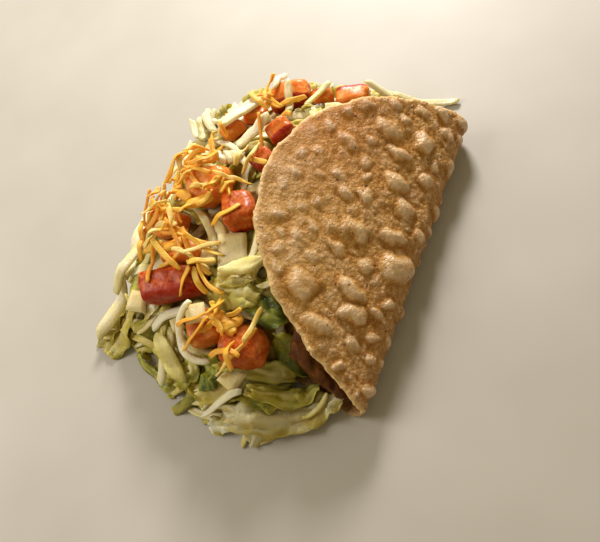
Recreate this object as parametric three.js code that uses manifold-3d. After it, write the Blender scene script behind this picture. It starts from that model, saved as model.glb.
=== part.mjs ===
// Corn taco lying on its side, with its filling spilling out of the open side.
// Millimetres, +Z up, resting on z = 0. X runs along the fold and +Y from the fold to the open side.
// Shapes are worked out from the middle of the fold, and the finished group is centred on its footprint.

import * as THREE from 'three';
import * as BufferGeometryUtils from 'three/addons/utils/BufferGeometryUtils.js';
import Module from 'manifold-3d';

const wasm = await Module();
wasm.setup();

// ---- Driving dimensions -------------------------------------------------------------------------

// Shell: one fried corn tortilla, folded. The fold radius is to the middle of the sheet.
const TORTILLA_RADIUS = 76.6;
const SHELL_THICKNESS = 2.2;
const FOLD_RADIUS = 8.7;
const OPENING = THREE.MathUtils.degToRad(40.3);
const OPENING_EASE = 0.22;
const END_FLAT = 0.033;
const END_SHARPNESS = 8;
const UNDER_RELIEF = 1;
const SHELL_GRID = 30;

// Slow waves of the sheet, in millimetres: mean height, depth of each wave and their steps.
const WARP = { mean: 0.3, depth: 0.15, along: 7, across: 5, skew: 11 };

// Upper rim: how far it strays from a circle, as cosine and sine shares of the radius.
const UPPER_RIM = [
  { turns: 1, cos: -0.006, sin: -0.006 },
  { turns: 2, cos: -0.033, sin: 0.045 },
  { turns: 3, cos: 0.007, sin: -0.034 },
];
const RIM_CHIPS = [
  { turns: 17, depth: 0.4, phase: 1 },
  { turns: 31, depth: 0.3, phase: 2 },
];

// Blisters: the largest ones by place on the sheet (along and across the fold), the rest by rule.
const LARGE_BLISTERS = [
  { along: -12, across: 13, radius: 8 },
  { along: -38, across: 48, radius: 6.2 },
  { along: -30, across: 28, radius: 5.8 },
  { along: 49, across: 21, radius: 5.8 },
  { along: -5, across: 36, radius: 5.3 },
  { along: 0, across: 18, radius: 5.3 },
  { along: 46, across: 39, radius: 5.3 },
  { along: -50, across: 36, radius: 5.3 },
  { along: -39, across: 24, radius: 4.9 },
  { along: 24, across: 26, radius: 4.9 },
  { along: 15, across: 19, radius: 4.9 },
  { along: 38, across: 30, radius: 4.4 },
  { along: 31, across: 53, radius: 4.4 },
  { along: -16, across: 40, radius: 4.4 },
];
const BLISTER = {
  tries: 900,
  small: 2.6,
  large: 4.2,
  spacing: 1.2,
  rimShare: 0.95,
  rise: 0.38,
  roundness: 1.2,
  pull: 3.2,
  seed: 11,
};

// Gaps between neighbours, and how far a cutting copy stands off its piece.
const GAP = 0.4;

// Bean and meat filling, which runs along the fold from end to end.
const BEANS = {
  halfLength: 68,
  reach: 34,
  rimInset: 4,
  stations: 17,
  wallSteps: 9,
  faceSteps: 5,
  lump: 1.2,
  seed: 5,
};

// Lettuce mound: a superellipse outline with one flat side against the beans.
const MOUND = {
  near: 99,
  far: 92,
  root: 45,
  reach: 93,
  peak: 37,
  innerEdge: 34.8,
  squareness: 2.6,
  edgeShare: 0.985,
  pieceShare: 0.97,
  minThick: 1.6,
  pressed: 4.5,
  pressedFrom: 75,
  pressedTo: 50,
  besideFrom: 58,
  besideTo: 76,
  tuck: 16,
  grid: 10,
  middle: new THREE.Vector2(-5, 76),
};
const LEDGE = { start: 1, end: 10 };

// How steeply the mound falls off towards its far side, its ends and its outline.
const FALL = { far: 3.5, farEase: 0.6, end: 2.2, endEase: 0.9, outline: 10 };

// Named shreds of lettuce: place of one end, heading in degrees, length, width and thickness.
const SHREDS = [
  { x: -12, y: 133, heading: 173, length: 61, width: 4.6, thick: 2.6, bend: 0 },
  { x: -69, y: 88, heading: 170, length: 19, width: 5, thick: 2, bend: 0 },
  { x: -57, y: 76, heading: 115, length: 34, width: 3, thick: 2, bend: 190 },
  { x: -77, y: 54, heading: -20, length: 9, width: 8, thick: 5, bend: 0 },
  { x: -95, y: 65, heading: -88, length: 18, width: 5, thick: 2.6, bend: 10 },
  { x: -20, y: 71, heading: 202, length: 18, width: 11, thick: 4, bend: 0 },
  { x: -33, y: 82, heading: -75, length: 10, width: 9, thick: 4, bend: 0 },
  { x: -39, y: 67, heading: -70, length: 15, width: 7, thick: 4, bend: 0 },
  { x: 20, y: 91, heading: -43, length: 20, width: 4.4, thick: 3, bend: 6 },
  { x: 24, y: 103, heading: -38, length: 26, width: 4, thick: 2, bend: -8 },
  { x: 29, y: 106, heading: -34, length: 24, width: 3.4, thick: 2, bend: 10 },
  { x: 23, y: 110, heading: -80, length: 36, width: 4, thick: 2.2, bend: -70 },
  { x: 12, y: 96, heading: -70, length: 11, width: 7, thick: 3.4, bend: 0 },
  { x: 30, y: 124, heading: 30, length: 20, width: 3.6, thick: 1.6, bend: 15 },
  { x: 36, y: 118, heading: 50, length: 24, width: 4, thick: 1.6, bend: -20 },
  { x: 62, y: 90, heading: 10, length: 26, width: 4, thick: 1.8, bend: 12 },
  { x: 49, y: 80, heading: 12, length: 28, width: 3.6, thick: 1.8, bend: 14 },
  { x: 49, y: 72, heading: -4, length: 24, width: 3.4, thick: 1.8, bend: 10 },
  { x: 72, y: 70, heading: -8, length: 20, width: 4, thick: 1.6, bend: 30 },
  { x: 80, y: 50, heading: -80, length: 28, width: 4, thick: 1.6, bend: -14 },
  { x: 81, y: 34, heading: -70, length: 27, width: 3.4, thick: 1.6, bend: 6 },
  { x: -3, y: 134, heading: -160, length: 18, width: 4, thick: 1.6, bend: 20 },
  { x: 26, y: 127, heading: 220, length: 16, width: 6, thick: 3, bend: 0 },
  { x: -82, y: 24, heading: -60, length: 15, width: 2, thick: 1.4, bend: 60 },
];

// Named leaves: place of the middle, heading in degrees, length, width and depth of the waves.
const LEAVES = [
  { x: -69, y: 127, heading: -20, length: 28, width: 21, wave: 2.2 },
  { x: -57, y: 108, heading: 40, length: 14, width: 11, wave: 1.2 },
  { x: -81, y: 79, heading: -60, length: 15, width: 13, wave: 2 },
  { x: -79, y: 65, heading: 20, length: 14, width: 10, wave: 1.6 },
  { x: -80, y: 49, heading: -76, length: 38, width: 14, wave: 1.6 },
  { x: -87, y: 52, heading: -79, length: 46, width: 15, wave: 1.8 },
  { x: -91, y: 44, heading: -64, length: 30, width: 12, wave: 1.6 },
  { x: -84, y: 23, heading: -66, length: 27, width: 12, wave: 1.4 },
  { x: -50, y: 48, heading: -40, length: 20, width: 12, wave: 2 },
  { x: -62, y: 41, heading: 60, length: 13, width: 11, wave: 2.4 },
  { x: -47, y: 61, heading: -80, length: 22, width: 12, wave: 1.4 },
  { x: 70, y: 112, heading: 40, length: 22, width: 13, wave: 2 },
  { x: 52, y: 124, heading: 10, length: 24, width: 14, wave: 2 },
  { x: 78, y: 88, heading: 70, length: 22, width: 12, wave: 1.8 },
];

// How deep the ends of a shred or leaf sink into the mound, and how high its middle stands off.
const SUNK = 0.5;
const ARCH = 1;
const SHRED = { sway: 0.4, bendLength: 11, mostBends: 5, endShare: 0.7 };
const LEAF = { columns: 4, rows: 2, thick: 1.2, taper: 0.6, curl: 0.5, alongTurn: 2.4, acrossTurn: 1.7 };

// Shreds and leaves that cover the rest of the mound: numbers, spacing and lowest and highest sizes.
const FILL = {
  tries: 90,
  clear: 6,
  pathStep: 4,
  mouthInset: 3,
  outmost: 1.03,
  leaves: 5,
  leafInset: 8,
  seed: 23,
  shredLength: [16, 40],
  shredWidth: [3, 5.5],
  shredThick: [1.4, 2.4],
  shredBend: [-70, 70],
  leafLength: [16, 26],
  leafWidth: [9, 14],
  leafWave: [1.2, 2.4],
};
const SPREAD = { along: 0.7549, across: 0.5698 };

// Grated cheese: patches where it lies thick, with the number of shreds in each.
const CHEESE_PATCHES = [
  { x: -5, y: 121, along: 24, across: 10, count: 16 },
  { x: -9, y: 88, along: 10, across: 11, count: 6 },
  { x: -27, y: 104, along: 12, across: 16, count: 12 },
  { x: -43, y: 73, along: 6, across: 9, count: 5 },
  { x: -60, y: 63, along: 6, across: 5, count: 3 },
  { x: -66, y: 45, along: 7, across: 7, count: 5 },
  { x: 24, y: 108, along: 12, across: 16, count: 7 },
  { x: 64, y: 101, along: 8, across: 6, count: 3 },
  { x: 52, y: 86, along: 6, across: 8, count: 4 },
];
const CHEESE = { short: 9, long: 16, width: 2, thick: 1.9, clear: 2.8, seed: 31 };

// Diced tomato: place on the mound, size, heading and tip in degrees. The +x side is the skin, and
// dice longer than DICE.plain are split more finely.
const TOMATOES = [
  { x: -1, y: 95, size: [20, 17, 14], heading: -68, tip: 12 },
  { x: -11, y: 74, size: [14, 17, 13], heading: -60, tip: -10 },
  { x: -22, y: 108, size: [15, 12, 11], heading: -80, tip: 15 },
  { x: -35, y: 95, size: [18, 11, 11], heading: -68, tip: -8 },
  { x: -49, y: 95, size: [28, 14, 14], heading: -66, tip: 6 },
  { x: -63, y: 72, size: [15, 14, 12], heading: -50, tip: 10 },
  { x: -66, y: 52, size: [19, 17, 13], heading: -72, tip: -6 },
  { x: 65, y: 86, size: [20, 13, 12], heading: -68, tip: 8 },
  { x: 74, y: 56, size: [16, 10, 7], heading: -66, tip: -4 },
  { x: 36, y: 75, size: [12, 10, 10], heading: -40, tip: 12 },
  { x: 34, y: 101, size: [11, 9, 8], heading: -20, tip: -14 },
  { x: 69, y: 70, size: [10, 8, 8], heading: -60, tip: 10 },
  { x: 46, y: 94, size: [12, 8, 8], heading: -75, tip: -8 },
  { x: 17, y: 75, size: [10, 8, 8], heading: -30, tip: 14 },
];
const DICE = { rise: 3, squareness: 4.5, bulge: 0.14, wonk: 0.1, plain: 17, seed: 47 };

// The middle of the fold, seen from the middle of the whole taco's footprint.
const FOLD_PLACE = new THREE.Vector3(3.2, -69.8, 0);

// ---- Small helpers ------------------------------------------------------------------------------

// Repeatable random numbers from 0 to 1.
function makeRandom(seed) {
  const modulus = 2147483647;
  let state = seed * 7919 + 17;
  return () => {
    state = (state * 48271) % modulus;
    return state / modulus;
  };
}

function between(random, low, high) {
  return low + (high - low) * random();
}

// Square grid point spread evenly over the unit disc.
function discPoint(u, v) {
  if (u === 0 && v === 0) return new THREE.Vector2(0, 0);
  const wide = Math.abs(u) > Math.abs(v);
  const radius = wide ? u : v;
  const angle = wide ? (Math.PI / 4) * (v / u) : Math.PI / 2 - (Math.PI / 4) * (u / v);
  return new THREE.Vector2(radius * Math.cos(angle), radius * Math.sin(angle));
}

// Closed geometry from a list of points and triangles.
function closedGeometry(points, triangles) {
  const geometry = new THREE.BufferGeometry();
  geometry.setFromPoints(points);
  geometry.setIndex(triangles);
  return geometry;
}

// Solid between two faces given on the same grid, both split into triangles alike.
function slab(upper, lower, columns, rows) {
  const width = columns + 1;
  const half = upper.length;
  const at = (i, j) => j * width + i;
  const triangles = [];
  for (let j = 0; j < rows; j += 1) {
    for (let i = 0; i < columns; i += 1) {
      const [a, b, c, d] = [at(i, j), at(i + 1, j), at(i + 1, j + 1), at(i, j + 1)];
      triangles.push(a, b, c, a, c, d);
      triangles.push(half + a, half + c, half + b, half + a, half + d, half + c);
    }
  }
  const border = [];
  for (let i = 0; i < columns; i += 1) border.push(at(i, 0));
  for (let j = 0; j < rows; j += 1) border.push(at(columns, j));
  for (let i = columns; i > 0; i -= 1) border.push(at(i, rows));
  for (let j = rows; j > 0; j -= 1) border.push(at(0, j));
  border.forEach((a, k) => {
    const b = border[(k + 1) % border.length];
    triangles.push(a, half + a, half + b, a, half + b, b);
  });
  return closedGeometry([...upper, ...lower], triangles);
}

// Solid through closed sections that all have the same number of points.
function loft(sections) {
  const count = sections[0].length;
  const triangles = [];
  for (let k = 0; k + 1 < sections.length; k += 1) {
    for (let i = 0; i < count; i += 1) {
      const a = k * count + i;
      const b = k * count + ((i + 1) % count);
      triangles.push(a, b, b + count, a, b + count, a + count);
    }
  }
  const last = (sections.length - 1) * count;
  const points = sections.flat();
  const startMiddle = points.length;
  [sections[0], sections.at(-1)].forEach((section) => {
    const middle = new THREE.Vector3();
    section.forEach((point) => middle.addScaledVector(point, 1 / count));
    points.push(middle);
  });
  for (let i = 0; i < count; i += 1) {
    const next = (i + 1) % count;
    triangles.push(startMiddle, next, i);
    triangles.push(startMiddle + 1, last + i, last + next);
  }
  return closedGeometry(points, triangles);
}

function toSolid(geometry) {
  const bare = geometry.clone();
  bare.deleteAttribute('normal');
  bare.deleteAttribute('uv');
  const merged = BufferGeometryUtils.mergeVertices(bare);
  const solid = new wasm.Manifold(
    new wasm.Mesh({
      numProp: 3,
      vertProperties: new Float32Array(merged.attributes.position.array),
      triVerts: new Uint32Array(merged.index.array),
    }),
  );
  return solid;
}

// The largest body of a solid: scraps are dropped and sealed hollows filled.
function mainBody(solid) {
  return solid.decompose().reduce((best, body) => (body.volume() > best.volume() ? body : best));
}

function toGeometry(solid) {
  const mesh = solid.getMesh();
  const geometry = new THREE.BufferGeometry();
  geometry.setAttribute('position', new THREE.BufferAttribute(mesh.vertProperties, 3));
  geometry.setIndex(new THREE.BufferAttribute(mesh.triVerts, 1));
  return geometry;
}

// ---- Shell --------------------------------------------------------------------------------------

const FOLD_HALF = (FOLD_RADIUS * (Math.PI - OPENING)) / 2;
const FOLD_MIDDLE = -Math.PI + OPENING / 2;
const SHEET_MIDDLE = SHELL_THICKNESS / 2 + UNDER_RELIEF;
const LOWER_TOP = SHELL_THICKNESS + UNDER_RELIEF;

// Bare sheet across the fold: across > 0 is the upper half and across < 0 the lower one.
function foldProfile(across) {
  const distance = Math.abs(across);
  const side = Math.sign(across);
  const angle = FOLD_MIDDLE - (side * Math.min(distance, FOLD_HALF)) / FOLD_RADIUS;
  const flat = Math.max(distance - FOLD_HALF, 0);
  const slope = side > 0 ? OPENING - (OPENING_EASE * flat) / (2 * TORTILLA_RADIUS) : 0;
  return new THREE.Vector2(
    FOLD_RADIUS + FOLD_RADIUS * Math.cos(angle) + flat * Math.cos(slope),
    FOLD_RADIUS + FOLD_RADIUS * Math.sin(angle) + flat * Math.sin(slope) + SHEET_MIDDLE,
  );
}

// Point on the sheet, moved off its middle along the outward normal.
function sheetPoint(along, across, offset) {
  const step = 0.05;
  const point = foldProfile(across);
  const tangent = foldProfile(across + step).sub(foldProfile(across - step)).normalize();
  return new THREE.Vector3(along, point.x - tangent.y * offset, point.y + tangent.x * offset);
}

// Rim radius by angle round the tortilla, from 0 at the +X end.
function rimRadius(angle) {
  let share = 1 - END_FLAT * Math.cos(angle) ** END_SHARPNESS;
  if (angle > 0) {
    share = 1;
    UPPER_RIM.forEach((wave) => {
      share += wave.cos * Math.cos(wave.turns * angle) + wave.sin * Math.sin(wave.turns * angle);
    });
  }
  let radius = TORTILLA_RADIUS * share;
  RIM_CHIPS.forEach((chip) => {
    radius += chip.depth * Math.sin(chip.turns * angle + chip.phase);
  });
  return radius;
}

function scatterBlisters() {
  const random = makeRandom(BLISTER.seed);
  const blisters = [...LARGE_BLISTERS];
  for (let k = 0; k < BLISTER.tries; k += 1) {
    const along = between(random, -1, 1) * TORTILLA_RADIUS;
    const across = between(random, -1, 1) * TORTILLA_RADIUS;
    const outward = Math.hypot(along, across) / TORTILLA_RADIUS;
    const nearFold = 1 - Math.abs(across) / TORTILLA_RADIUS;
    const radius = BLISTER.small + (BLISTER.large - BLISTER.small) * nearFold * random();
    const free = blisters.every(
      (other) =>
        Math.hypot(other.along - along, other.across - across) >
        (other.radius + radius) * BLISTER.spacing,
    );
    if (outward < BLISTER.rimShare && free) blisters.push({ along, across, radius });
  }
  return blisters;
}

const BLISTERS = scatterBlisters();

// Outward relief of the sheet: rounded blisters on a slow warp. The underside is pressed flat.
function sheetRelief(along, across) {
  const waves = Math.sin(along / WARP.along) + Math.sin(across / WARP.across + along / WARP.skew);
  let height = WARP.mean + WARP.depth * waves;
  BLISTERS.forEach((blister) => {
    const reach = Math.hypot(blister.along - along, blister.across - across) / blister.radius;
    const dome = Math.max(0, 1 - reach * reach) ** BLISTER.roundness;
    height += BLISTER.rise * blister.radius * dome;
  });
  return across < 0 ? Math.min(height, UNDER_RELIEF) : height;
}

// Draws a point of the sheet towards the blister that it lies on, so that the top is kept.
function drawnToBlister(along, across) {
  const spot = new THREE.Vector2(along, across);
  BLISTERS.forEach((blister) => {
    const top = new THREE.Vector2(blister.along, blister.across);
    const near = 1 - spot.distanceTo(top) / BLISTER.pull;
    if (near > 0) spot.lerp(top, near);
  });
  return [spot.x, spot.y];
}

// The whole folded tortilla, made thicker and wider by grow on every side.
function shellGeometry(grow) {
  const outer = [];
  const inner = [];
  for (let j = 0; j <= SHELL_GRID; j += 1) {
    for (let i = 0; i <= SHELL_GRID; i += 1) {
      const spot = discPoint((2 * i) / SHELL_GRID - 1, (2 * j) / SHELL_GRID - 1);
      const angle = spot.angle() > Math.PI ? spot.angle() - 2 * Math.PI : spot.angle();
      const scale = rimRadius(angle) + grow;
      const [along, across] = drawnToBlister(spot.x * scale, spot.y * scale);
      const relief = sheetRelief(along, across);
      outer.push(sheetPoint(along, across, relief + SHELL_THICKNESS / 2 + grow));
      inner.push(sheetPoint(along, across, relief - SHELL_THICKNESS / 2 - grow));
    }
  }
  return slab(outer, inner, SHELL_GRID, SHELL_GRID);
}

// ---- Bean and meat filling ----------------------------------------------------------------------

// Section across the fold: round the inside of the fold, out along both halves, and a bulging face.
function beansSection(along, random) {
  const clearance = SHELL_THICKNESS / 2 + GAP;
  const rimAcross = Math.sqrt((TORTILLA_RADIUS * (1 - END_FLAT)) ** 2 - along * along);
  const end = Math.min(BEANS.reach, foldProfile(-rimAcross).x - BEANS.rimInset);
  const lowerAcross = -(end - FOLD_RADIUS + FOLD_HALF);
  const upperAcross = FOLD_HALF + (end - FOLD_RADIUS) / Math.cos(OPENING);
  const section = [];
  for (let k = 0; k <= BEANS.wallSteps; k += 1) {
    const across = upperAcross + ((lowerAcross - upperAcross) * k) / BEANS.wallSteps;
    section.push(sheetPoint(along, across, -clearance - random() * GAP));
  }
  const top = section[0];
  const bottom = section.at(-1);
  for (let k = 1; k < BEANS.faceSteps; k += 1) {
    const point = bottom.clone().lerp(top, k / BEANS.faceSteps);
    point.y -= random() * BEANS.lump;
    section.push(point);
  }
  return section;
}

function beansGeometry() {
  const random = makeRandom(BEANS.seed);
  const sections = [];
  for (let k = 0; k < BEANS.stations; k += 1) {
    const along = BEANS.halfLength * ((2 * k) / (BEANS.stations - 1) - 1);
    sections.push(beansSection(along, random));
  }
  return loft(sections);
}

// ---- Lettuce mound ------------------------------------------------------------------------------

function moundShare(x, y) {
  const along = Math.abs(x) / (x < 0 ? MOUND.near : MOUND.far);
  const across = Math.max(0, y - MOUND.root) / MOUND.reach;
  return (along ** MOUND.squareness + across ** MOUND.squareness) ** (1 / MOUND.squareness);
}

// Height of the mound's top: highest at the mouth of the shell and down to the ground all round.
function moundHeight(x, y) {
  const along = Math.abs(x) / (x < 0 ? MOUND.near : MOUND.far);
  const across = Math.max(0, y - MOUND.root) / MOUND.reach;
  const share = moundShare(x, y);
  if (share >= 1) return 0;
  const far = (1 - across ** FALL.far) ** FALL.farEase;
  const end = (1 - along ** FALL.end) ** FALL.endEase;
  const profile = far * end * Math.sqrt(1 - share ** FALL.outline);
  const pressed = 1 - THREE.MathUtils.smoothstep(y, MOUND.pressedTo, MOUND.pressedFrom);
  const beside = THREE.MathUtils.smoothstep(Math.abs(x), MOUND.besideFrom, MOUND.besideTo);
  const tucked = 1 - THREE.MathUtils.smoothstep(y, MOUND.innerEdge, MOUND.innerEdge + MOUND.tuck);
  return (MOUND.peak + MOUND.pressed * pressed) * profile * (1 - beside * tucked);
}

// Height of the mound's underside: the ground, or just over the lower half of the shell.
function moundFloor(x, y) {
  const across = y - FOLD_RADIUS + FOLD_HALF;
  const outside = Math.hypot(x, across) - rimRadius(-Math.atan2(across, x));
  const clear = THREE.MathUtils.smoothstep(outside, LEDGE.start, LEDGE.end);
  return (LOWER_TOP + 2 * GAP) * (1 - clear);
}

// Point of the mound's outline in one direction from its middle.
function moundEdge(direction) {
  const tolerance = 0.001;
  let inside = 0;
  let outside = 2 * MOUND.near;
  while (outside - inside > tolerance) {
    const reach = (inside + outside) / 2;
    const point = direction.clone().multiplyScalar(reach).add(MOUND.middle);
    const within = point.y > MOUND.innerEdge && moundShare(point.x, point.y) < MOUND.edgeShare;
    if (within) inside = reach;
    else outside = reach;
  }
  return inside;
}

function moundGeometry() {
  const top = [];
  const floor = [];
  for (let j = 0; j <= MOUND.grid; j += 1) {
    for (let i = 0; i <= MOUND.grid; i += 1) {
      const spot = discPoint((2 * i) / MOUND.grid - 1, (2 * j) / MOUND.grid - 1);
      const share = spot.length();
      const direction = share > 0 ? spot.clone().normalize() : spot.clone();
      const { x, y } = direction.clone().multiplyScalar(share * moundEdge(direction)).add(MOUND.middle);
      const under = moundFloor(x, y);
      floor.push(new THREE.Vector3(x, y, under));
      top.push(new THREE.Vector3(x, y, Math.max(moundHeight(x, y), under + MOUND.minThick)));
    }
  }
  return slab(top, floor, MOUND.grid, MOUND.grid);
}

// Lowest height at which something of a given thickness can have its middle at a spot.
function restHeight(x, y, thick) {
  return Math.max(moundHeight(x, y), moundFloor(x, y) + thick / 2);
}

// ---- Shreds and leaves --------------------------------------------------------------------------

// Line of points that arches over the mound from one end of a shred to the other.
function trail(shred, steps, sway, phase) {
  const path = [];
  const spot = new THREE.Vector2(shred.x, shred.y);
  for (let k = 0; k <= steps; k += 1) {
    const rest = restHeight(spot.x, spot.y, shred.thick);
    const arch = Math.sin((Math.PI * k) / steps) * (1 + SHRED.sway * Math.sin(phase + k));
    const lift = sway * arch - SUNK;
    const lowest = moundFloor(spot.x, spot.y) + shred.thick / 2;
    path.push(new THREE.Vector3(spot.x, spot.y, Math.max(rest + lift, lowest)));
    const heading = THREE.MathUtils.degToRad(shred.heading + (shred.bend * k) / steps);
    spot.x += (Math.cos(heading) * shred.length) / steps;
    spot.y += (Math.sin(heading) * shred.length) / steps;
  }
  return path;
}

// Flat strip along a path, narrower at its ends.
function ribbon(path, width, thick, endShare) {
  const sections = path.map((point, k) => {
    const ahead = path[Math.min(k + 1, path.length - 1)];
    const behind = path[Math.max(k - 1, 0)];
    const forward = ahead.clone().sub(behind).normalize();
    const side = new THREE.Vector3(0, 0, 1).cross(forward).normalize();
    const up = forward.clone().cross(side);
    const isEnd = k === 0 || k === path.length - 1;
    const halfWidth = (width / 2) * (isEnd ? endShare : 1);
    return [[-1, -1], [1, -1], [1, 1], [-1, 1]].map(([right, high]) => {
      const corner = point.clone().addScaledVector(side, right * halfWidth);
      corner.addScaledVector(up, (high * thick) / 2);
      corner.z = Math.max(corner.z, 0);
      return corner;
    });
  });
  return loft(sections);
}

function shredGeometry(shred, random) {
  const bends = Math.max(1, Math.round(shred.length / SHRED.bendLength));
  const steps = Math.min(SHRED.mostBends, bends);
  const path = trail(shred, steps, shred.thick / 2 + SUNK + ARCH, between(random, 0, 2 * Math.PI));
  return ribbon(path, shred.width, shred.thick, SHRED.endShare);
}

function leafGeometry(leaf, random) {
  const { columns, rows, thick } = LEAF;
  const heading = THREE.MathUtils.degToRad(leaf.heading);
  const phase = between(random, 0, 2 * Math.PI);
  const top = [];
  const under = [];
  for (let j = 0; j <= rows; j += 1) {
    for (let i = 0; i <= columns; i += 1) {
      const u = (2 * i) / columns - 1;
      const v = (2 * j) / rows - 1;
      const along = (u * leaf.length) / 2;
      const across = (v * leaf.width * Math.sqrt(1 - LEAF.taper * u * u)) / 2;
      const x = leaf.x + along * Math.cos(heading) - across * Math.sin(heading);
      const y = leaf.y + along * Math.sin(heading) + across * Math.cos(heading);
      const curl = 1 + LEAF.curl * Math.sin(phase + LEAF.alongTurn * i + LEAF.acrossTurn * j);
      const lift = (thick / 2 + SUNK + leaf.wave * curl) * Math.sin((Math.PI * i) / columns);
      const lowest = moundFloor(x, y) + thick / 2;
      const z = Math.max(restHeight(x, y, thick) + lift - SUNK, lowest);
      top.push(new THREE.Vector3(x, y, z + thick / 2));
      under.push(new THREE.Vector3(x, y, z - thick / 2));
    }
  }
  return slab(top, under, columns, rows);
}

// Spots spread evenly over the mound, by stepping with two irrational shares.
function moundSpots(count) {
  const spots = [];
  const depth = MOUND.root + MOUND.reach - MOUND.innerEdge;
  for (let k = 1; spots.length < count; k += 1) {
    const x = MOUND.far - (MOUND.near + MOUND.far) * ((k * SPREAD.along) % 1);
    const y = MOUND.innerEdge + depth * ((k * SPREAD.across) % 1);
    if (moundShare(x, y) < MOUND.pieceShare) spots.push(new THREE.Vector2(x, y));
  }
  return spots;
}

// Evenly spaced points along a shred, to keep shreds apart by.
function footprint(shred) {
  return trail(shred, Math.ceil(shred.length / FILL.pathStep), 0, 0);
}

// Lays a shred if it stays on the mound, in the mouth of the shell and clear of those before it.
function layIfFree(shred, clear, laid) {
  const path = footprint(shred);
  const deepest = MOUND.innerEdge + FILL.mouthInset;
  const placed = path.every(
    ({ x, y }) => moundShare(x, y) < FILL.outmost && (y > deepest || Math.abs(x) > TORTILLA_RADIUS),
  );
  const free = laid.every((other) => path.every((point) => point.distanceTo(other) > clear));
  if (placed && free) laid.push(...path);
  return placed && free;
}

function namedPieces() {
  const random = makeRandom(FILL.seed + 1);
  return [
    ...SHREDS.map((shred) => shredGeometry(shred, random)),
    ...LEAVES.map((leaf) => leafGeometry(leaf, random)),
  ];
}

function fillPieces() {
  const random = makeRandom(FILL.seed);
  const pieces = [];
  const laid = SHREDS.flatMap(footprint);
  moundSpots(FILL.tries).forEach((spot) => {
    const shred = {
      x: spot.x,
      y: spot.y,
      heading: between(random, 0, 360),
      length: between(random, ...FILL.shredLength),
      width: between(random, ...FILL.shredWidth),
      thick: between(random, ...FILL.shredThick),
      bend: between(random, ...FILL.shredBend),
    };
    if (layIfFree(shred, FILL.clear, laid)) pieces.push(shredGeometry(shred, random));
  });
  moundSpots(FILL.leaves).forEach((spot) => {
    const leaf = {
      x: spot.x,
      y: Math.max(spot.y, MOUND.root + FILL.leafInset),
      heading: between(random, 0, 360),
      length: between(random, ...FILL.leafLength),
      width: between(random, ...FILL.leafWidth),
      wave: between(random, ...FILL.leafWave),
    };
    pieces.push(leafGeometry(leaf, random));
  });
  return pieces;
}

function cheesePieces() {
  const random = makeRandom(CHEESE.seed);
  const pieces = [];
  const laid = [];
  CHEESE_PATCHES.forEach((patch) => {
    for (let k = 0; k < patch.count; k += 1) {
      const shred = {
        x: patch.x + between(random, -1, 1) * patch.along,
        y: patch.y + between(random, -1, 1) * patch.across,
        heading: between(random, 0, 360),
        length: between(random, CHEESE.short, CHEESE.long),
        thick: CHEESE.thick,
        bend: 0,
      };
      if (layIfFree(shred, CHEESE.clear, laid)) {
        pieces.push(ribbon(trail(shred, 1, 0, 0), CHEESE.width, CHEESE.thick, 1));
      }
    }
  });
  return pieces;
}

// ---- Tomato dice --------------------------------------------------------------------------------

// Rounded, slightly crooked block with one bulging skin side, made wider by grow on every side.
function diceGeometry(dice, grow) {
  const [length, width, height] = dice.size;
  const segments = length > DICE.plain ? 3 : 2;
  const box = new THREE.BoxGeometry(2, 2, 2, segments, segments, segments);
  box.deleteAttribute('normal');
  box.deleteAttribute('uv');
  const geometry = BufferGeometryUtils.mergeVertices(box);
  const random = makeRandom(DICE.seed + Math.abs(dice.x));
  const lean = new THREE.Vector3(random() - 0.5, random() - 0.5, random() - 0.5).multiplyScalar(
    2 * DICE.wonk,
  );
  const corners = geometry.attributes.position;
  const point = new THREE.Vector3();
  for (let k = 0; k < corners.count; k += 1) {
    point.fromBufferAttribute(corners, k);
    const power = DICE.squareness;
    const sides = [point.x, point.y, point.z].map((side) => Math.abs(side) ** power);
    point.multiplyScalar((sides[0] + sides[1] + sides[2]) ** (-1 / power));
    const skin = Math.max(0, point.x) * (1 - point.y * point.y) * (1 - point.z * point.z);
    point.x += DICE.bulge * skin + lean.x * point.z;
    point.y *= 1 + lean.y * point.x;
    point.z *= 1 + lean.z * point.y;
    corners.setXYZ(
      k,
      point.x * (length / 2 + grow),
      point.y * (width / 2 + grow),
      point.z * (height / 2 + grow),
    );
  }
  const turn = new THREE.Euler(
    THREE.MathUtils.degToRad(dice.tip),
    THREE.MathUtils.degToRad(-dice.tip / 2),
    THREE.MathUtils.degToRad(dice.heading),
    'ZYX',
  );
  geometry.applyMatrix4(new THREE.Matrix4().makeRotationFromEuler(turn));
  geometry.translate(dice.x, dice.y, moundHeight(dice.x, dice.y) + DICE.rise);
  return geometry;
}

// Each dice is cut back where an earlier one already lies.
function diceSolids() {
  return TOMATOES.map((dice, index) => {
    let solid = toSolid(diceGeometry(dice, 0));
    TOMATOES.slice(0, index).forEach((earlier) => {
      solid = solid.subtract(toSolid(diceGeometry(earlier, GAP)));
    });
    return mainBody(solid);
  });
}

// ---- Lettuce heap -------------------------------------------------------------------------------

// Mound with its shreds, leaves and cheese fused on, cut clear of everything beside it.
function heapSolid() {
  const pieces = [...namedPieces(), ...fillPieces(), ...cheesePieces()];
  let solid = toSolid(moundGeometry());
  pieces.forEach((piece) => {
    solid = solid.add(toSolid(piece));
  });
  const neighbours = [shellGeometry(GAP), ...TOMATOES.map((dice) => diceGeometry(dice, GAP))];
  neighbours.forEach((neighbour) => {
    solid = solid.subtract(toSolid(neighbour));
  });
  return mainBody(solid);
}

// ---- Assembly -----------------------------------------------------------------------------------

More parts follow.
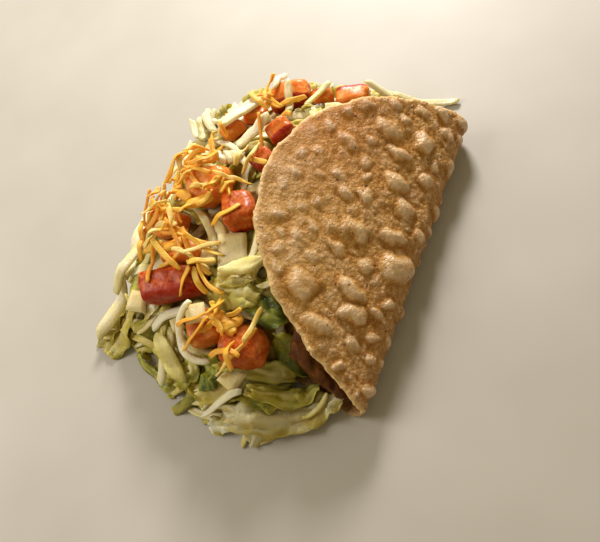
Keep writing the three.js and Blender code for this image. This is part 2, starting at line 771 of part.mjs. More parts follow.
const GOLDEN_TAN = 0xc68e52;
const DARK_BROWN = 0x5a2d14;
const PALE_GREEN = 0xd5d6a0;
const TOMATO_RED = 0xd9502b;
const MATERIALS = {
  shell: new THREE.MeshStandardMaterial({ color: GOLDEN_TAN, roughness: 0.65, metalness: 0 }),
  beans: new THREE.MeshStandardMaterial({ color: DARK_BROWN, roughness: 0.5, metalness: 0 }),
  lettuce: new THREE.MeshStandardMaterial({ color: PALE_GREEN, roughness: 0.45, metalness: 0 }),
  tomato: new THREE.MeshStandardMaterial({ color: TOMATO_RED, roughness: 0.3, metalness: 0 }),
};

const taco = new THREE.Group();

function addPiece(name, geometry, material) {
  geometry.computeVertexNormals();
  const mesh = new THREE.Mesh(geometry, material);
  mesh.name = name;
  mesh.position.copy(FOLD_PLACE);
  taco.add(mesh);
}

addPiece('shell', shellGeometry(0), MATERIALS.shell);
addPiece('beans', beansGeometry(), MATERIALS.beans);
addPiece('lettuce', toGeometry(heapSolid()), MATERIALS.lettuce);
diceSolids().forEach((solid, index) => {
  addPiece(`tomato_${index + 1}`, toGeometry(solid), MATERIALS.tomato);
});

export default taco;
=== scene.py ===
import itertools
import math

import bpy
import numpy as np
from mathutils import Matrix, Vector


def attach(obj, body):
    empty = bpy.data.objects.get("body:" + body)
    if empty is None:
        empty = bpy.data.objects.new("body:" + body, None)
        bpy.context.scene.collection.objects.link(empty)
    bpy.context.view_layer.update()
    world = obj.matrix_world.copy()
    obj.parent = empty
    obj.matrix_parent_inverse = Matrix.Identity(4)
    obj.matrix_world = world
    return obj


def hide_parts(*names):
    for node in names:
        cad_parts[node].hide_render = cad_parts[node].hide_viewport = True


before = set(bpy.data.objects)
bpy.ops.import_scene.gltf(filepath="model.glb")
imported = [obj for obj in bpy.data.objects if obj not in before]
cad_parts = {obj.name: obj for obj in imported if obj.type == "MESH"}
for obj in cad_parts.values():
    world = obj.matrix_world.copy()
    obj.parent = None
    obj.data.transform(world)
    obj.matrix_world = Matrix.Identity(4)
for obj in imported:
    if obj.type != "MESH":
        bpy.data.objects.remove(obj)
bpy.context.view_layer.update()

# ---- Sizes, in millimetres and degrees, from the middle of the fold ----

MM = 0.001
FOLD_PLACE = np.array([3.2, -69.8, 0.0])

TORTILLA_RADIUS = 76.6
SHELL_THICKNESS = 2.2
FOLD_RADIUS = 8.7
OPENING = math.radians(40.3)
OPENING_EASE = 0.22
END_FLAT = 0.033
END_SHARPNESS = 8
UNDER_RELIEF = 1.0
WARP = {"mean": 0.3, "depth": 0.15, "along": 7, "across": 5, "skew": 11}
UPPER_RIM = [(1, -0.006, -0.006), (2, -0.033, 0.045), (3, 0.007, -0.034)]
RIM_CHIPS = [(17, 0.4, 1), (31, 0.3, 2)]
SHELL_GRID = 220

# Place along and across the fold and radius of the blisters that stand out.
LARGE_BLISTERS = [
    (-12, 13, 8), (-38, 48, 6.2), (-30, 28, 5.8), (49, 21, 5.8), (-5, 36, 5.3), (0, 18, 5.3),
    (46, 39, 5.3), (-50, 36, 5.3), (-39, 24, 4.9), (24, 26, 4.9), (15, 19, 4.9), (38, 30, 4.4),
    (31, 53, 4.4), (-16, 40, 4.4),
]
BLISTER = {"tries": 900, "small": 2.6, "large": 4.2, "spacing": 1.2, "rim": 0.95, "rise": 0.38, "seed": 11}
FINE_BLISTER = {
    "tries": 5200, "small": 0.8, "large": 2.4, "spacing": 1.1, "rim": 0.97, "likely": 0.25, "rise": 0.26,
    "seed": 12,
}
DOME = {"heading": 80, "turn": 22, "stretch": (1.05, 1.3), "spread": 1.12, "overlap": 0.35, "seed": 30}
LARGE_RISE = 1.25
LARGE_STEEPNESS = 1.05
DOME_STRAY = [(1.9, 5.5), (0.5, 2.2)]
LARGE_FROM = 4.3
# Share of their height that blisters lose on the upper half, and from where to where.
SETTLED = {"small": (0.5, 30, 60), "large": (0.3, 20, 45)}

# Depth, size of the features and seed of each layer of relief on the shell.
RELIEF = {
    "crumble": (0.6, 1.3, 35), "pebble": (0.2, 1.4, 36), "pock": (0.5, 3.4, 37), "wrinkle": (0.2, 2.2, 38),
    "torn": (0.3, 0.9, 39), "swell": (0.55, 6, 40), "ripple": (0.25, 3.6, 41),
}
# Fine relief on the shell: strength at the rim, what the fold adds, what tall blisters take away, and
# what of it shows on the inner face and on the underside.
ROUGH = {
    "rim": 0.6, "fold": 0.7, "calm": 0.55, "tall": 1.2, "lift": 0.12, "inner_blisters": 0.6,
    "inner_pebble": 0.4, "under": 0.03,
}
# Blur and height of the crest map, which paints a highlight on the tops of the relief and shade in the
# hollows round them.
CREST_SHADING = {"blur": 14, "height": 0.9}
RIM = {"inset": 0.35, "crumble_power": 20, "thin": 0.62, "thin_for": 1.6}
# Where the golden, pale and darkened areas of the shell begin and end, and how tall a full dome is.
AREAS = {"gold_along": (-20, 45), "gold_across": (20, 60), "near_end_dark_along": (30, 50), "rim": 2.2, "dome": 1.6}

GAP = 0.4
BEANS = {
    "reach": 34, "half": 71, "inset": 2.5, "stations": 240, "ring": 90, "end_power": 14, "corner": 0.45,
    "lean": 0.8, "middle": 0.55, "shrink": 0.97,
}
LUMPS = {
    "count": 420, "within": [(-72, 72), (2, 36), (3, 36)], "size": (2.2, 4.6), "full": 4, "sink": 1.6,
    "rise": 1.5, "seed": 71,
}

MOUND = {
    "near": 99, "far": 92, "root": 45, "reach": 93, "peak": 37, "inner": 34.8, "square": 2.6,
    "pressed": 4.5, "pressed_from": 75, "pressed_to": 50, "beside_from": 58, "beside_to": 76, "tuck": 16,
}
FALL = {"far": 3.5, "far_ease": 0.6, "end": 2.2, "end_ease": 0.9, "outline": 10}
LEDGE = (1, 10)
# Core of the heap: its share of the mound's height, how much lower it lies, and where its foot slopes.
CORE = {"share": 0.92, "lower": 5, "foot": (0.84, 0.95), "outermost": 0.93, "middle": (-5, 76), "cells": 70}
# Height that stands for open air above a spot.
OPEN = 200.0

CAMERA_AT = np.array([-127.8, -73.9, 285.2])
LOOK_AT = np.array([-15.8, 53.7, 0.0])
CAMERA_ROLL = math.radians(-30.3)
CAMERA_LENS = 42
CAMERA_SENSOR = 36

UP = np.array([0.0, 0.0, 1.0])
FOLD_HALF = FOLD_RADIUS * (math.pi - OPENING) / 2
FOLD_MIDDLE = -math.pi + OPENING / 2
SHEET_MIDDLE = SHELL_THICKNESS / 2 + UNDER_RELIEF
LOWER_TOP = SHELL_THICKNESS + UNDER_RELIEF


# ---- Small helpers ----

def to_frame(points):
    return (np.asarray(points, float) + FOLD_PLACE) * MM


def smoothstep(value, low, high):
    share = np.clip((value - low) / (high - low), 0, 1)
    return share * share * (3 - 2 * share)


def unit(vectors):
    return vectors / np.maximum(np.linalg.norm(vectors, axis=-1, keepdims=True), 1e-9)


# The same repeatable numbers from 0 to 1 as the solids are made with.
def make_random(seed):
    state = seed * 7919 + 17

    def draw():
        nonlocal state
        state = (state * 48271) % 2147483647
        return state / 2147483647

    return draw


# Smooth noise from -1 to 1 at points given in mm, with features of the given size.
def noise(points, size, seed):
    cells = 24
    table = np.random.default_rng(seed).uniform(-1, 1, (cells,) * 3)
    spot = np.asarray(points, float) / size + 100.37
    cell = np.floor(spot).astype(int)
    part = spot - cell
    part = part * part * (3 - 2 * part)
    total = 0
    for corner in itertools.product((0, 1), repeat=3):
        weight = np.where(np.array(corner) == 1, part, 1 - part).prod(-1)
        place = np.moveaxis((cell + corner) % cells, -1, 0)
        total = total + weight * table[tuple(place)]
    return total


def flat_noise(x, y, size, seed):
    return noise(np.stack([x, y, np.zeros_like(x)], -1), size, seed)


# Point turned about the origin by a heading in degrees.
def turned(x, y, heading):
    turn = math.radians(heading)
    return x * math.cos(turn) - y * math.sin(turn), x * math.sin(turn) + y * math.cos(turn)


# Even steps from -1 to 1.
def spread(count):
    return np.linspace(-1, 1, count)


def square_grid(columns, rows):
    return np.meshgrid(spread(columns), spread(rows), indexing="ij")


# Square grid spread evenly over the unit disc.
def disc_grid(cells):
    u, v = square_grid(cells + 1, cells + 1)
    wide = np.abs(u) > np.abs(v)
    with np.errstate(divide="ignore", invalid="ignore"):
        angle = np.where(wide, math.pi / 4 * v / u, math.pi / 2 - math.pi / 4 * u / v)
    radius = np.where(wide, u, v)
    angle = np.where(radius == 0, 0, angle)
    return radius * np.cos(angle), radius * np.sin(angle)


def grid_quads(index):
    return np.stack([index[:-1, :-1], index[1:, :-1], index[1:, 1:], index[:-1, 1:]], -1).reshape(-1, 4)


# Quads of a closed sheet whose two faces lie on the same grid.
def sheet_faces(columns, rows):
    index = np.arange(columns * rows).reshape(columns, rows)
    top = grid_quads(index)
    half = columns * rows
    rim = np.concatenate([index[:-1, 0], index[-1, :-1], index[:0:-1, -1], index[0, :0:-1]])
    after = np.roll(rim, -1)
    side = np.stack([rim, rim + half, after + half, after], -1)
    return np.concatenate([top, top[:, ::-1] + half, side])


# Grid of heights after each has become the mean of its four neighbours, a number of times.
def smoothed(grid, times):
    for _ in range(times):
        padded = np.pad(grid, 1, mode="edge")
        grid = (padded[:-2, 1:-1] + padded[2:, 1:-1] + padded[1:-1, :-2] + padded[1:-1, 2:]) / 4
    return grid


# Both faces of a sheet of some thickness round a grid of points.
def thicken(middle, thick):
    normal = unit(np.cross(np.gradient(middle, axis=0), np.gradient(middle, axis=1)))
    offset = normal * (np.asarray(thick) / 2)[..., None]
    return np.concatenate([(middle + offset).reshape(-1, 3), (middle - offset).reshape(-1, 3)])


def add_mesh(name, points, faces, material, values, replaces):
    mesh = bpy.data.meshes.new(name)
    points = to_frame(points)
    mesh.vertices.add(len(points))
    mesh.vertices.foreach_set("co", points.astype(np.float32).ravel())
    mesh.loops.add(faces.size)
    mesh.loops.foreach_set("vertex_index", faces.astype(np.int32).ravel())
    mesh.polygons.add(len(faces))
    mesh.polygons.foreach_set("loop_start", np.arange(0, faces.size, faces.shape[1], dtype=np.int32))
    mesh.update(calc_edges=True)
    for key, value in values.items():
        layer = mesh.attributes.new(key, "FLOAT", "POINT")
        layer.data.foreach_set("value", np.asarray(value, np.float32).ravel())
    mesh.shade_smooth()
    mesh.materials.append(material)
    piece = bpy.data.objects.new(name, mesh)
    bpy.context.scene.collection.objects.link(piece)
    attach(piece, "root")
    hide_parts(*replaces)


# Many small closed sheets that become one mesh.
class Batch:
    def __init__(self, keys):
        self.points = []
        self.faces = []
        self.values = {key: [] for key in keys}
        self.count = 0

    def add(self, middle, thick, **values):
        self.add_faces(thicken(middle, thick), middle.shape[:2], **values)

    # Points of both faces of a sheet on a grid of a shape, and values for the spots of the grid.
    def add_faces(self, points, shape, **values):
        self.faces.append(sheet_faces(*shape) + self.count)
        self.points.append(points)
        self.count += len(points)
        for key, value in values.items():
            self.values[key].append(np.tile(np.broadcast_to(value, shape).ravel(), 2))

    def build(self, name, material, replaces):
        values = {key: np.concatenate(parts) for key, parts in self.values.items()}
        points, faces = np.concatenate(self.points), np.concatenate(self.faces)
        add_mesh(name, points, faces, material, values, replaces)


# ---- Materials ----

# The crest colour is a painted highlight on the tops of the relief, and the hollow colour painted shade in
# the hollows round them.
# The fold colour is painted shade: the shell is darker and browner near the fold.
# The grain colour is painted shade in the low spots of the grain.
# The pit colour darkens the pits, partly real browning and partly painted shade in the dents.
SHELL_COLOURS = {
    "patches": [(0.3, (0.57, 0.27, 0.030)), (0.5, (0.67, 0.375, 0.10)), (0.72, (0.75, 0.49, 0.24))],
    "fold": (0.43, 0.21, 0.055), "gold": (0.57, 0.205, 0.010), "crest": (0.92, 0.72, 0.50),
    "hollow_shade": (0.37, 0.13, 0.003), "browned_and_shaded_pit": (0.32, 0.115, 0.008), "grain": (0.46, 0.18, 0.012),
    "fleck": (0.92, 0.72, 0.42), "rim": (0.90, 0.62, 0.27), "speck": (0.075, 0.022, 0.010),
    # This colour darkens the inner face of the lower half towards the near end.
    "near_end_dark": (0.12, 0.035, 0.003),
}
# The fold colour is painted shade in the creases of the leaves.
# The shade ramp is painted shade, set by each piece's tone.
LETTUCE_COLOURS = {
    "leaf": [
        (0.0, (0.88, 0.82, 0.61)), (0.25, (0.78, 0.70, 0.31)), (0.45, (0.64, 0.57, 0.11)),
        (0.65, (0.44, 0.43, 0.045)), (0.85, (0.20, 0.27, 0.02)), (1.0, (0.07, 0.13, 0.012)),
    ],
    "vein": (0.84, 0.78, 0.50), "fold": (0.62, 0.44, 0.12),
    "shade": [(0.0, (0.56, 0.35, 0.07)), (0.5, (0.80, 0.68, 0.42)), (1.0, (0.96, 0.94, 0.92))],
}
CHEESE_COLOURS = {
    "strand": [
        (0.0, (0.84, 0.36, 0.02)), (0.4, (0.89, 0.48, 0.04)), (0.7, (0.91, 0.58, 0.09)),
        (1.0, (0.92, 0.72, 0.27)),
    ],
    "crumb": (0.80, 0.34, 0.02),
}
TOMATO_COLOURS = {
    "flesh": [(0.3, (0.30, 0.018, 0.001)), (0.5, (0.46, 0.055, 0.002)), (0.68, (0.62, 0.15, 0.015))],
    "pale": (0.86, 0.30, 0.04), "pulp": (0.88, 0.46, 0.13),
    "skin": [(0.3, (0.30, 0.014, 0.004)), (0.7, (0.46, 0.045, 0.010))],
}
BEANS_COLOURS = {
    "paste": [(0.3, (0.04, 0.009, 0.0005)), (0.55, (0.13, 0.036, 0.002)), (0.75, (0.21, 0.08, 0.006))],
    "lump": (0.20, 0.07, 0.015),
}
FLOOR_COLOURS = [(0.3, (0.45, 0.42, 0.37)), (0.7, (0.49, 0.46, 0.41))]


class Shader:
    def __init__(self, name):
        self.material = bpy.data.materials.new(name)
        self.material.use_nodes = True
        self.tree = self.material.node_tree
        self.body = self.tree.nodes["Principled BSDF"]
        self.place = self.tree.nodes.new("ShaderNodeTexCoord").outputs["Object"]

    def put(self, socket, value):
        if isinstance(value, bpy.types.NodeSocket):
            self.tree.links.new(value, socket)
        else:
            socket.default_value = value

    def set(self, name, value):
        self.put(self.body.inputs[name], value)

    # New node with some of its inputs set or linked.
    def node(self, kind, inputs):
        node = self.tree.nodes.new(kind)
        for name, value in inputs.items():
            self.put(node.inputs[name], value)
        return node

    def attribute(self, name):
        node = self.tree.nodes.new("ShaderNodeAttribute")
        node.attribute_name = name
        return node.outputs["Fac"]

    # Noise with features of a size in millimetres.
    def noise(self, size, detail=2.0, roughness=0.5, distortion=0.0):
        inputs = {"Vector": self.place, "Scale": 1 / (size * MM), "Detail": detail, "Roughness": roughness}
        return self.node("ShaderNodeTexNoise", {**inputs, "Distortion": distortion}).outputs["Fac"]

    # Distance from the middles of random cells of a size in millimetres.
    def cells(self, size):
        inputs = {"Vector": self.place, "Scale": 1 / (size * MM)}
        return self.node("ShaderNodeTexVoronoi", inputs).outputs["Distance"]

    def math(self, operation, a, b):
        node = self.node("ShaderNodeMath", {0: a, 1: b})
        node.operation = operation
        return node.outputs[0]

    def plus(self, a, b):
        return self.math("ADD", a, b)

    def times(self, a, b):
        return self.math("MULTIPLY", a, b)

    def span(self, value, low, high, to_low=0.0, to_high=1.0):
        inputs = {"Value": value, "From Min": low, "From Max": high, "To Min": to_low, "To Max": to_high}
        return self.node("ShaderNodeMapRange", inputs).outputs["Result"]

    def mix(self, factor, a, b, blend="MIX"):
        node = self.tree.nodes.new("ShaderNodeMix")
        node.data_type = "RGBA"
        node.blend_type = blend
        self.put(node.inputs[0], factor)
        for socket, colour in ((node.inputs[6], a), (node.inputs[7], b)):
            self.put(socket, colour if isinstance(colour, bpy.types.NodeSocket) else (*colour, 1))
        return node.outputs[2]

    # Colour mixed with another one, by a share that goes with a value from low to high.
    def tinge(self, colour, other, value, low, high, to_low=0.0, to_high=1.0):
        return self.mix(self.span(value, low, high, to_low, to_high), colour, other)

    def ramp(self, value, stops):
        node = self.node("ShaderNodeValToRGB", {"Fac": value})
        elements = node.color_ramp.elements
        while len(elements) < len(stops):
            elements.new(0.5)
        for element, (spot, colour) in zip(elements, stops):
            element.position = spot
            element.color = (*colour, 1)
        return node.outputs["Color"]

    def bump(self, height, depth, strength):
        inputs = {"Height": height, "Distance": depth * MM, "Strength": strength}
        self.set("Normal", self.node("ShaderNodeBump", inputs).outputs["Normal"])

    # Scale in millimetres.
    def scatter(self, weight, radius, scale):
        self.set("Subsurface Weight", weight)
        self.set("Subsurface Radius", radius)
        self.set("Subsurface Scale", scale * MM)

    def surface(self, colour, roughness, specular):
        self.set("Base Color", colour)
        self.set("Roughness", roughness)
        self.set("Specular IOR Level", specular)


def shell_material():
    s = Shader("fried_corn_shell")
    colours = SHELL_COLOURS
    dome = s.attribute("dome")
    crest = s.attribute("crest")
    fold = s.attribute("fold")
    rim = s.attribute("rim")
    patch = s.noise(16, 3, 0.6)
    grain = s.noise(1.5, 4, 0.7, 0.4)
    fleck = s.noise(0.55, 2, 0.6)
    pebble = s.cells(1.5)
    colour = s.ramp(patch, colours["patches"])
    # Painted shade near the fold, the side that lies away from the light.
    colour = s.tinge(colour, colours["fold"], fold, 0.0, 0.5, 0.65, 0.0)
    colour = s.tinge(colour, colours["gold"], s.attribute("gold"), 0.0, 1.0, 0.0, 0.9)
    # Painted highlight on the tops of the relief and painted shade in the hollows round them.
    colour = s.tinge(colour, colours["crest"], crest, 0.55, 1.0, 0.0, 0.45)
    colour = s.tinge(colour, colours["hollow_shade"], crest, 0.05, 0.46, 0.8, 0.0)
    smooth = s.span(dome, 0.15, 0.9, 1.0, 0.4)
    # Darker pits, stronger near the fold: partly real browning and partly painted shade in the dents of the
    # bump.
    browned_and_shaded_pit = s.times(s.span(pebble, 0.35, 0.75), s.span(fold, 0.0, 0.8, 0.8, 0.2))
    colour = s.mix(s.times(browned_and_shaded_pit, smooth), colour, colours["browned_and_shaded_pit"])
    # Painted shade in the low spots of the grain, where the bump dips.
    colour = s.mix(s.times(s.span(grain, 0.36, 0.54, 0.4, 0.0), smooth), colour, colours["grain"])
    colour = s.tinge(colour, colours["fleck"], fleck, 0.55, 0.68, 0.0, 0.4)
    colour = s.tinge(colour, colours["rim"], rim, 0.1, 0.8, 0.8, 0.0)
    speck = s.math("GREATER_THAN", s.noise(2.6, 1, 0.5), 0.735)
    colour = s.mix(s.times(speck, 0.85), colour, colours["speck"])
    # The inner face of the lower half is darker towards the near end.
    colour = s.mix(s.attribute("near_end_dark"), colour, colours["near_end_dark"])
    s.surface(colour, s.span(dome, 0.1, 0.8, 0.46, 0.32), s.span(crest, 0.3, 0.8, 0.25, 0.95))
    s.scatter(0.16, (1.0, 0.45, 0.12), 2.0)
    dent = s.times(pebble, s.span(fold, 0.0, 0.8, 0.7, 0.3))
    height = s.math("SUBTRACT", s.times(grain, 0.7), dent)
    height = s.plus(height, s.times(fleck, 0.35))
    s.bump(s.times(height, s.span(dome, 0.15, 0.9, 1.0, 0.6)), 0.85, 1.0)
    return s.material


def lettuce_material():
    s = Shader("shredded_lettuce")
    colours = LETTUCE_COLOURS
    tint = s.attribute("tint")
    tone = s.attribute("tone")
    crest = s.attribute("crest")
    cloud = s.noise(7, 3, 0.6)
    vein = s.noise(1.5, 3, 0.6, 0.8)
    level = s.plus(tint, s.span(cloud, 0.25, 0.75, -0.12, 0.12))
    # The crests of the creases are painted paler, a painted highlight.
    level = s.plus(level, s.span(crest, 0.0, 1.0, 0.14, -0.16))
    colour = s.ramp(level, colours["leaf"])
    colour = s.tinge(colour, colours["vein"], vein, 0.56, 0.72, 0.0, 0.4)
    # Painted shade: each piece's tone darkens it, the core most of all.
    colour = s.mix(1.0, colour, s.ramp(tone, colours["shade"]), "MULTIPLY")
    # Painted shade in the creases.
    fold_shade = s.span(crest, 0.0, 0.45, 0.45, 0.0)
    colour = s.mix(fold_shade, colour, s.mix(1.0, colour, colours["fold"], "MULTIPLY"))
    s.surface(colour, s.span(vein, 0.3, 0.7, 0.34, 0.55), 0.45)
    s.set("Coat Weight", 0.15)
    s.set("Coat Roughness", 0.2)
    s.scatter(0.6, (1.0, 0.85, 0.3), 3.5)
    s.bump(s.plus(vein, s.times(s.noise(0.6, 2), 0.4)), 0.6, 0.7)
    return s.material


def cheese_material():
    s = Shader("grated_cheese")
    tone = s.attribute("tone")
    crumb = s.noise(1.1, 3, 0.6)
    melt = s.noise(5, 2, 0.5)
    colour = s.ramp(s.plus(tone, s.span(melt, 0.3, 0.7, -0.2, 0.2)), CHEESE_COLOURS["strand"])
    colour = s.tinge(colour, CHEESE_COLOURS["crumb"], crumb, 0.35, 0.6, 0.2, 0.0)
    s.surface(colour, s.span(crumb, 0.3, 0.7, 0.4, 0.6), 0.5)
    s.scatter(0.4, (1.0, 0.6, 0.25), 2.5)
    s.bump(crumb, 0.45, 0.8)
    return s.material


def tomato_material():
    s = Shader("diced_tomato")
    colours = TOMATO_COLOURS
    skin = s.attribute("skin")
    tone = s.attribute("tone")
    fibre = s.noise(3.4, 3, 0.55, 1.4)
    speck = s.noise(0.7, 2, 0.5)
    pulp = s.noise(4.5, 2, 0.5, 0.8)
    flesh = s.ramp(fibre, colours["flesh"])
    # The tone makes the flesh and pulp paler, partly the dice's own colour and partly painted light and
    # shade.
    flesh = s.tinge(flesh, colours["pale"], tone, 0.1, 0.9, 0.0, 0.8)
    flesh = s.mix(s.times(s.span(pulp, 0.52, 0.68, 0.0, 0.8), tone), flesh, colours["pulp"])
    peel = s.ramp(fibre, colours["skin"])
    s.surface(s.tinge(flesh, peel, skin, 0.35, 0.6), s.span(fibre, 0.35, 0.65, 0.24, 0.46), 0.22)
    s.set("Coat Weight", 0.1)
    s.set("Coat Roughness", 0.1)
    s.scatter(0.75, (1.0, 0.4, 0.12), 5.0)
    s.bump(s.plus(fibre, s.times(speck, 0.15)), 0.6, 0.6)
    return s.material


def beans_material():
    s = Shader("bean_filling")
    lump = s.attribute("lump")
    paste = s.noise(3.2, 4, 0.6)
    colour = s.ramp(paste, BEANS_COLOURS["paste"])
    colour = s.tinge(colour, BEANS_COLOURS["lump"], lump, 0.2, 0.9, 0.0, 0.5)
    s.surface(colour, s.span(paste, 0.3, 0.7, 0.5, 0.75), 0.25)
    s.bump(s.plus(paste, s.times(s.noise(0.7, 3), 0.4)), 0.8, 0.7)
    return s.material


def floor_material():
    s = Shader("table_top")
    s.surface(s.ramp(s.noise(60, 2), FLOOR_COLOURS), 0.6, 0.5)
    return s.material


# ---- Shell ----

# Bare sheet across the fold: across > 0 is the upper half and across < 0 the lower one.
def fold_profile(across):
    distance = np.abs(across)
    side = np.sign(across)
    angle = FOLD_MIDDLE - side * np.minimum(distance, FOLD_HALF) / FOLD_RADIUS
    flat = np.maximum(distance - FOLD_HALF, 0)
    slope = np.where(side > 0, OPENING - OPENING_EASE * flat / (2 * TORTILLA_RADIUS), 0.0)
    y = FOLD_RADIUS + FOLD_RADIUS * np.cos(angle) + flat * np.cos(slope)
    z = FOLD_RADIUS + FOLD_RADIUS * np.sin(angle) + flat * np.sin(slope) + SHEET_MIDDLE
    return y, z


def sheet_point(along, across, offset):
    step = 0.05
    y, z = fold_profile(across)
    y_after, z_after = fold_profile(across + step)
    y_before, z_before = fold_profile(across - step)
    turn = np.arctan2(z_after - z_before, y_after - y_before)
    return np.stack([along + 0 * y, y - np.sin(turn) * offset, z + np.cos(turn) * offset], -1)


def rim_radius(angle):
    share = 1 - END_FLAT * np.cos(angle) ** END_SHARPNESS
    upper = np.ones_like(share)
    for turns, cosine, sine in UPPER_RIM:
        upper = upper + cosine * np.cos(turns * angle) + sine * np.sin(turns * angle)
    radius = TORTILLA_RADIUS * np.where(angle > 0, upper, share)
    for turns, depth, phase in RIM_CHIPS:
        radius = radius + depth * np.sin(turns * angle + phase)
    return radius


def scatter_blisters():
    draw = make_random(BLISTER["seed"])
    found = list(LARGE_BLISTERS)
    for _ in range(BLISTER["tries"]):
        along = (2 * draw() - 1) * TORTILLA_RADIUS
        across = (2 * draw() - 1) * TORTILLA_RADIUS
        near_fold = 1 - abs(across) / TORTILLA_RADIUS
        radius = BLISTER["small"] + (BLISTER["large"] - BLISTER["small"]) * near_fold * draw()
        free = all(
            math.hypot(x - along, y - across) > (size + radius) * BLISTER["spacing"] for x, y, size in found
        )
        if math.hypot(along, across) < BLISTER["rim"] * TORTILLA_RADIUS and free:
            found.append((along, across, radius))
    return found


# Small blisters between the others, closer together near the fold.
def scatter_fine_blisters(others):
    rng = np.random.default_rng(FINE_BLISTER["seed"])
    taken = np.array(others)
    reach = [TORTILLA_RADIUS, TORTILLA_RADIUS, 1]
    for along, across, pick in rng.uniform(-1, 1, (FINE_BLISTER["tries"], 3)) * reach:
        near_fold = 1 - abs(across) / TORTILLA_RADIUS
        likely = FINE_BLISTER["likely"] + (1 - FINE_BLISTER["likely"]) * near_fold
        if abs(pick) > likely or math.hypot(along, across) > TORTILLA_RADIUS * FINE_BLISTER["rim"]:
            continue
        radius = FINE_BLISTER["small"] + (FINE_BLISTER["large"] - FINE_BLISTER["small"]) * pick * pick
        distance = np.hypot(taken[:, 0] - along, taken[:, 1] - across)
        if (distance > (taken[:, 2] + radius) * FINE_BLISTER["spacing"]).all():
            taken = np.vstack([taken, (along, across, radius)])
    return taken[len(others):]


# How far the outline of a blister strays at each spot.
def stray(x, y, seed):
    return sum(depth * flat_noise(x, y, size, seed + k) for k, (depth, size) in enumerate(DOME_STRAY))


# Height of rounded domes, each a little longer across the fold and with an uneven outline.
def domes(along, across, blisters, rise, power):
    rng = np.random.default_rng(DOME["seed"])
    bent_along = along + stray(along, across, DOME["seed"] + 1)
    bent_across = across + stray(along, across, DOME["seed"] + 3)
    height = np.zeros_like(along)
    for blister_along, blister_across, radius in blisters:
        heading = rng.normal(DOME["heading"], DOME["turn"])
        stretch = rng.uniform(*DOME["stretch"])
        reach = 1.3 * radius + 2
        near = (np.abs(along - blister_along) < reach) & (np.abs(across - blister_across) < reach)
        off = bent_along[near] - blister_along, bent_across[near] - blister_across
        long_way, short_way = turned(*off, -heading)
        share = np.hypot(long_way / stretch, short_way * stretch) / (DOME["spread"] * radius)
        lost, lost_from, lost_to = SETTLED["small" if radius < LARGE_FROM else "large"]
        settled = 1 - lost * smoothstep(blister_across, lost_from, lost_to)
        dome = rise * settled * radius * np.maximum(0, 1 - share**2) ** power
        height[near] = np.maximum(height[near], dome) + DOME["overlap"] * np.minimum(height[near], dome)
    return height


def layer(name, along, across):
    depth, size, seed = RELIEF[name]
    return depth * flat_noise(along, across, size, seed)


def build_shell(material):
    u, v = disc_grid(SHELL_GRID)
    angle = np.arctan2(v, u)
    share = np.hypot(u, v)
    crumble = layer("crumble", angle * TORTILLA_RADIUS, 0 * angle)
    scale = rim_radius(angle) + crumble * share ** RIM["crumble_power"] - RIM["inset"]
    along, across = u * scale, v * scale
    inward = scale * (1 - share)
    near_fold = 1 - np.abs(across) / TORTILLA_RADIUS
    lower = across < 0

    blisters = scatter_blisters()
    large = domes(along, across, blisters, LARGE_RISE * BLISTER["rise"], LARGE_STEEPNESS)
    fine = domes(along, across, scatter_fine_blisters(blisters), FINE_BLISTER["rise"], 1.0)
    waves = np.sin(along / WARP["along"]) + np.sin(across / WARP["across"] + along / WARP["skew"])
    bent = WARP["mean"] + WARP["depth"] * waves
    pebble = layer("pebble", along, across) - np.abs(layer("pock", along, across))
    wrinkle = layer("wrinkle", along * 0.5, across)
    lumps = layer("swell", along, across) + layer("ripple", along, across * 0.6)
    calm = 1 - ROUGH["calm"] * np.clip(large / ROUGH["tall"], 0, 1)
    rough = (pebble + wrinkle) * (ROUGH["rim"] + ROUGH["fold"] * near_fold) * calm
    relief = bent + large + fine + lumps + rough + ROUGH["lift"] * calm
    # The relief less its blur gives the crest map: it paints a highlight on the tops and shade in the
    # hollows, and sets the gloss.
    crest = np.clip(0.5 + (relief - smoothed(relief, CREST_SHADING["blur"])) / CREST_SHADING["height"], 0, 1)
    inner_relief = bent + ROUGH["inner_blisters"] * large + ROUGH["inner_pebble"] * pebble
    under = UNDER_RELIEF - ROUGH["under"] + ROUGH["under"] * pebble
    relief = np.where(lower, np.minimum(relief, under), relief)
    inner_relief = np.where(lower, np.minimum(inner_relief, UNDER_RELIEF), inner_relief)

    edge = smoothstep(inward, 0, RIM["thin_for"])
    half = SHELL_THICKNESS / 2 * (RIM["thin"] + (1 - RIM["thin"]) * edge)
    torn = layer("torn", along, across) * (1 - edge)
    outer = sheet_point(along, across, relief + half + torn)
    inner = sheet_point(along, across, inner_relief - half + torn)
    outer[..., 2] = np.maximum(outer[..., 2], 0)
    points = np.concatenate([outer.reshape(-1, 3), inner.reshape(-1, 3)])
    dome = large / AREAS["dome"]
    gold = smoothstep(along, *AREAS["gold_along"]) * smoothstep(across, *AREAS["gold_across"])
    # The inner face of the lower half is darker towards the near end.
    near_end_dark = np.where(lower, 0.7 + 0.3 * lumps, 0) * smoothstep(-along, *AREAS["near_end_dark_along"])
    rim = np.clip(inward / AREAS["rim"], 0, 1)
    both_faces = {
        "dome": (dome, 0.3 * dome), "crest": (crest, 0.5 + 0 * crest), "fold": (1 - near_fold, 1 - near_fold),
        "gold": (gold, gold), "rim": (rim, rim), "near_end_dark": (0 * near_end_dark, near_end_dark),
    }
    values = {name: np.concatenate([one.ravel() for one in pair]) for name, pair in both_faces.items()}
    faces = sheet_faces(SHELL_GRID + 1, SHELL_GRID + 1)
    add_mesh("shell_look", points, faces, material, values, ["shell"])


# ---- Heap: its ground, its ceiling and what lies on it ----

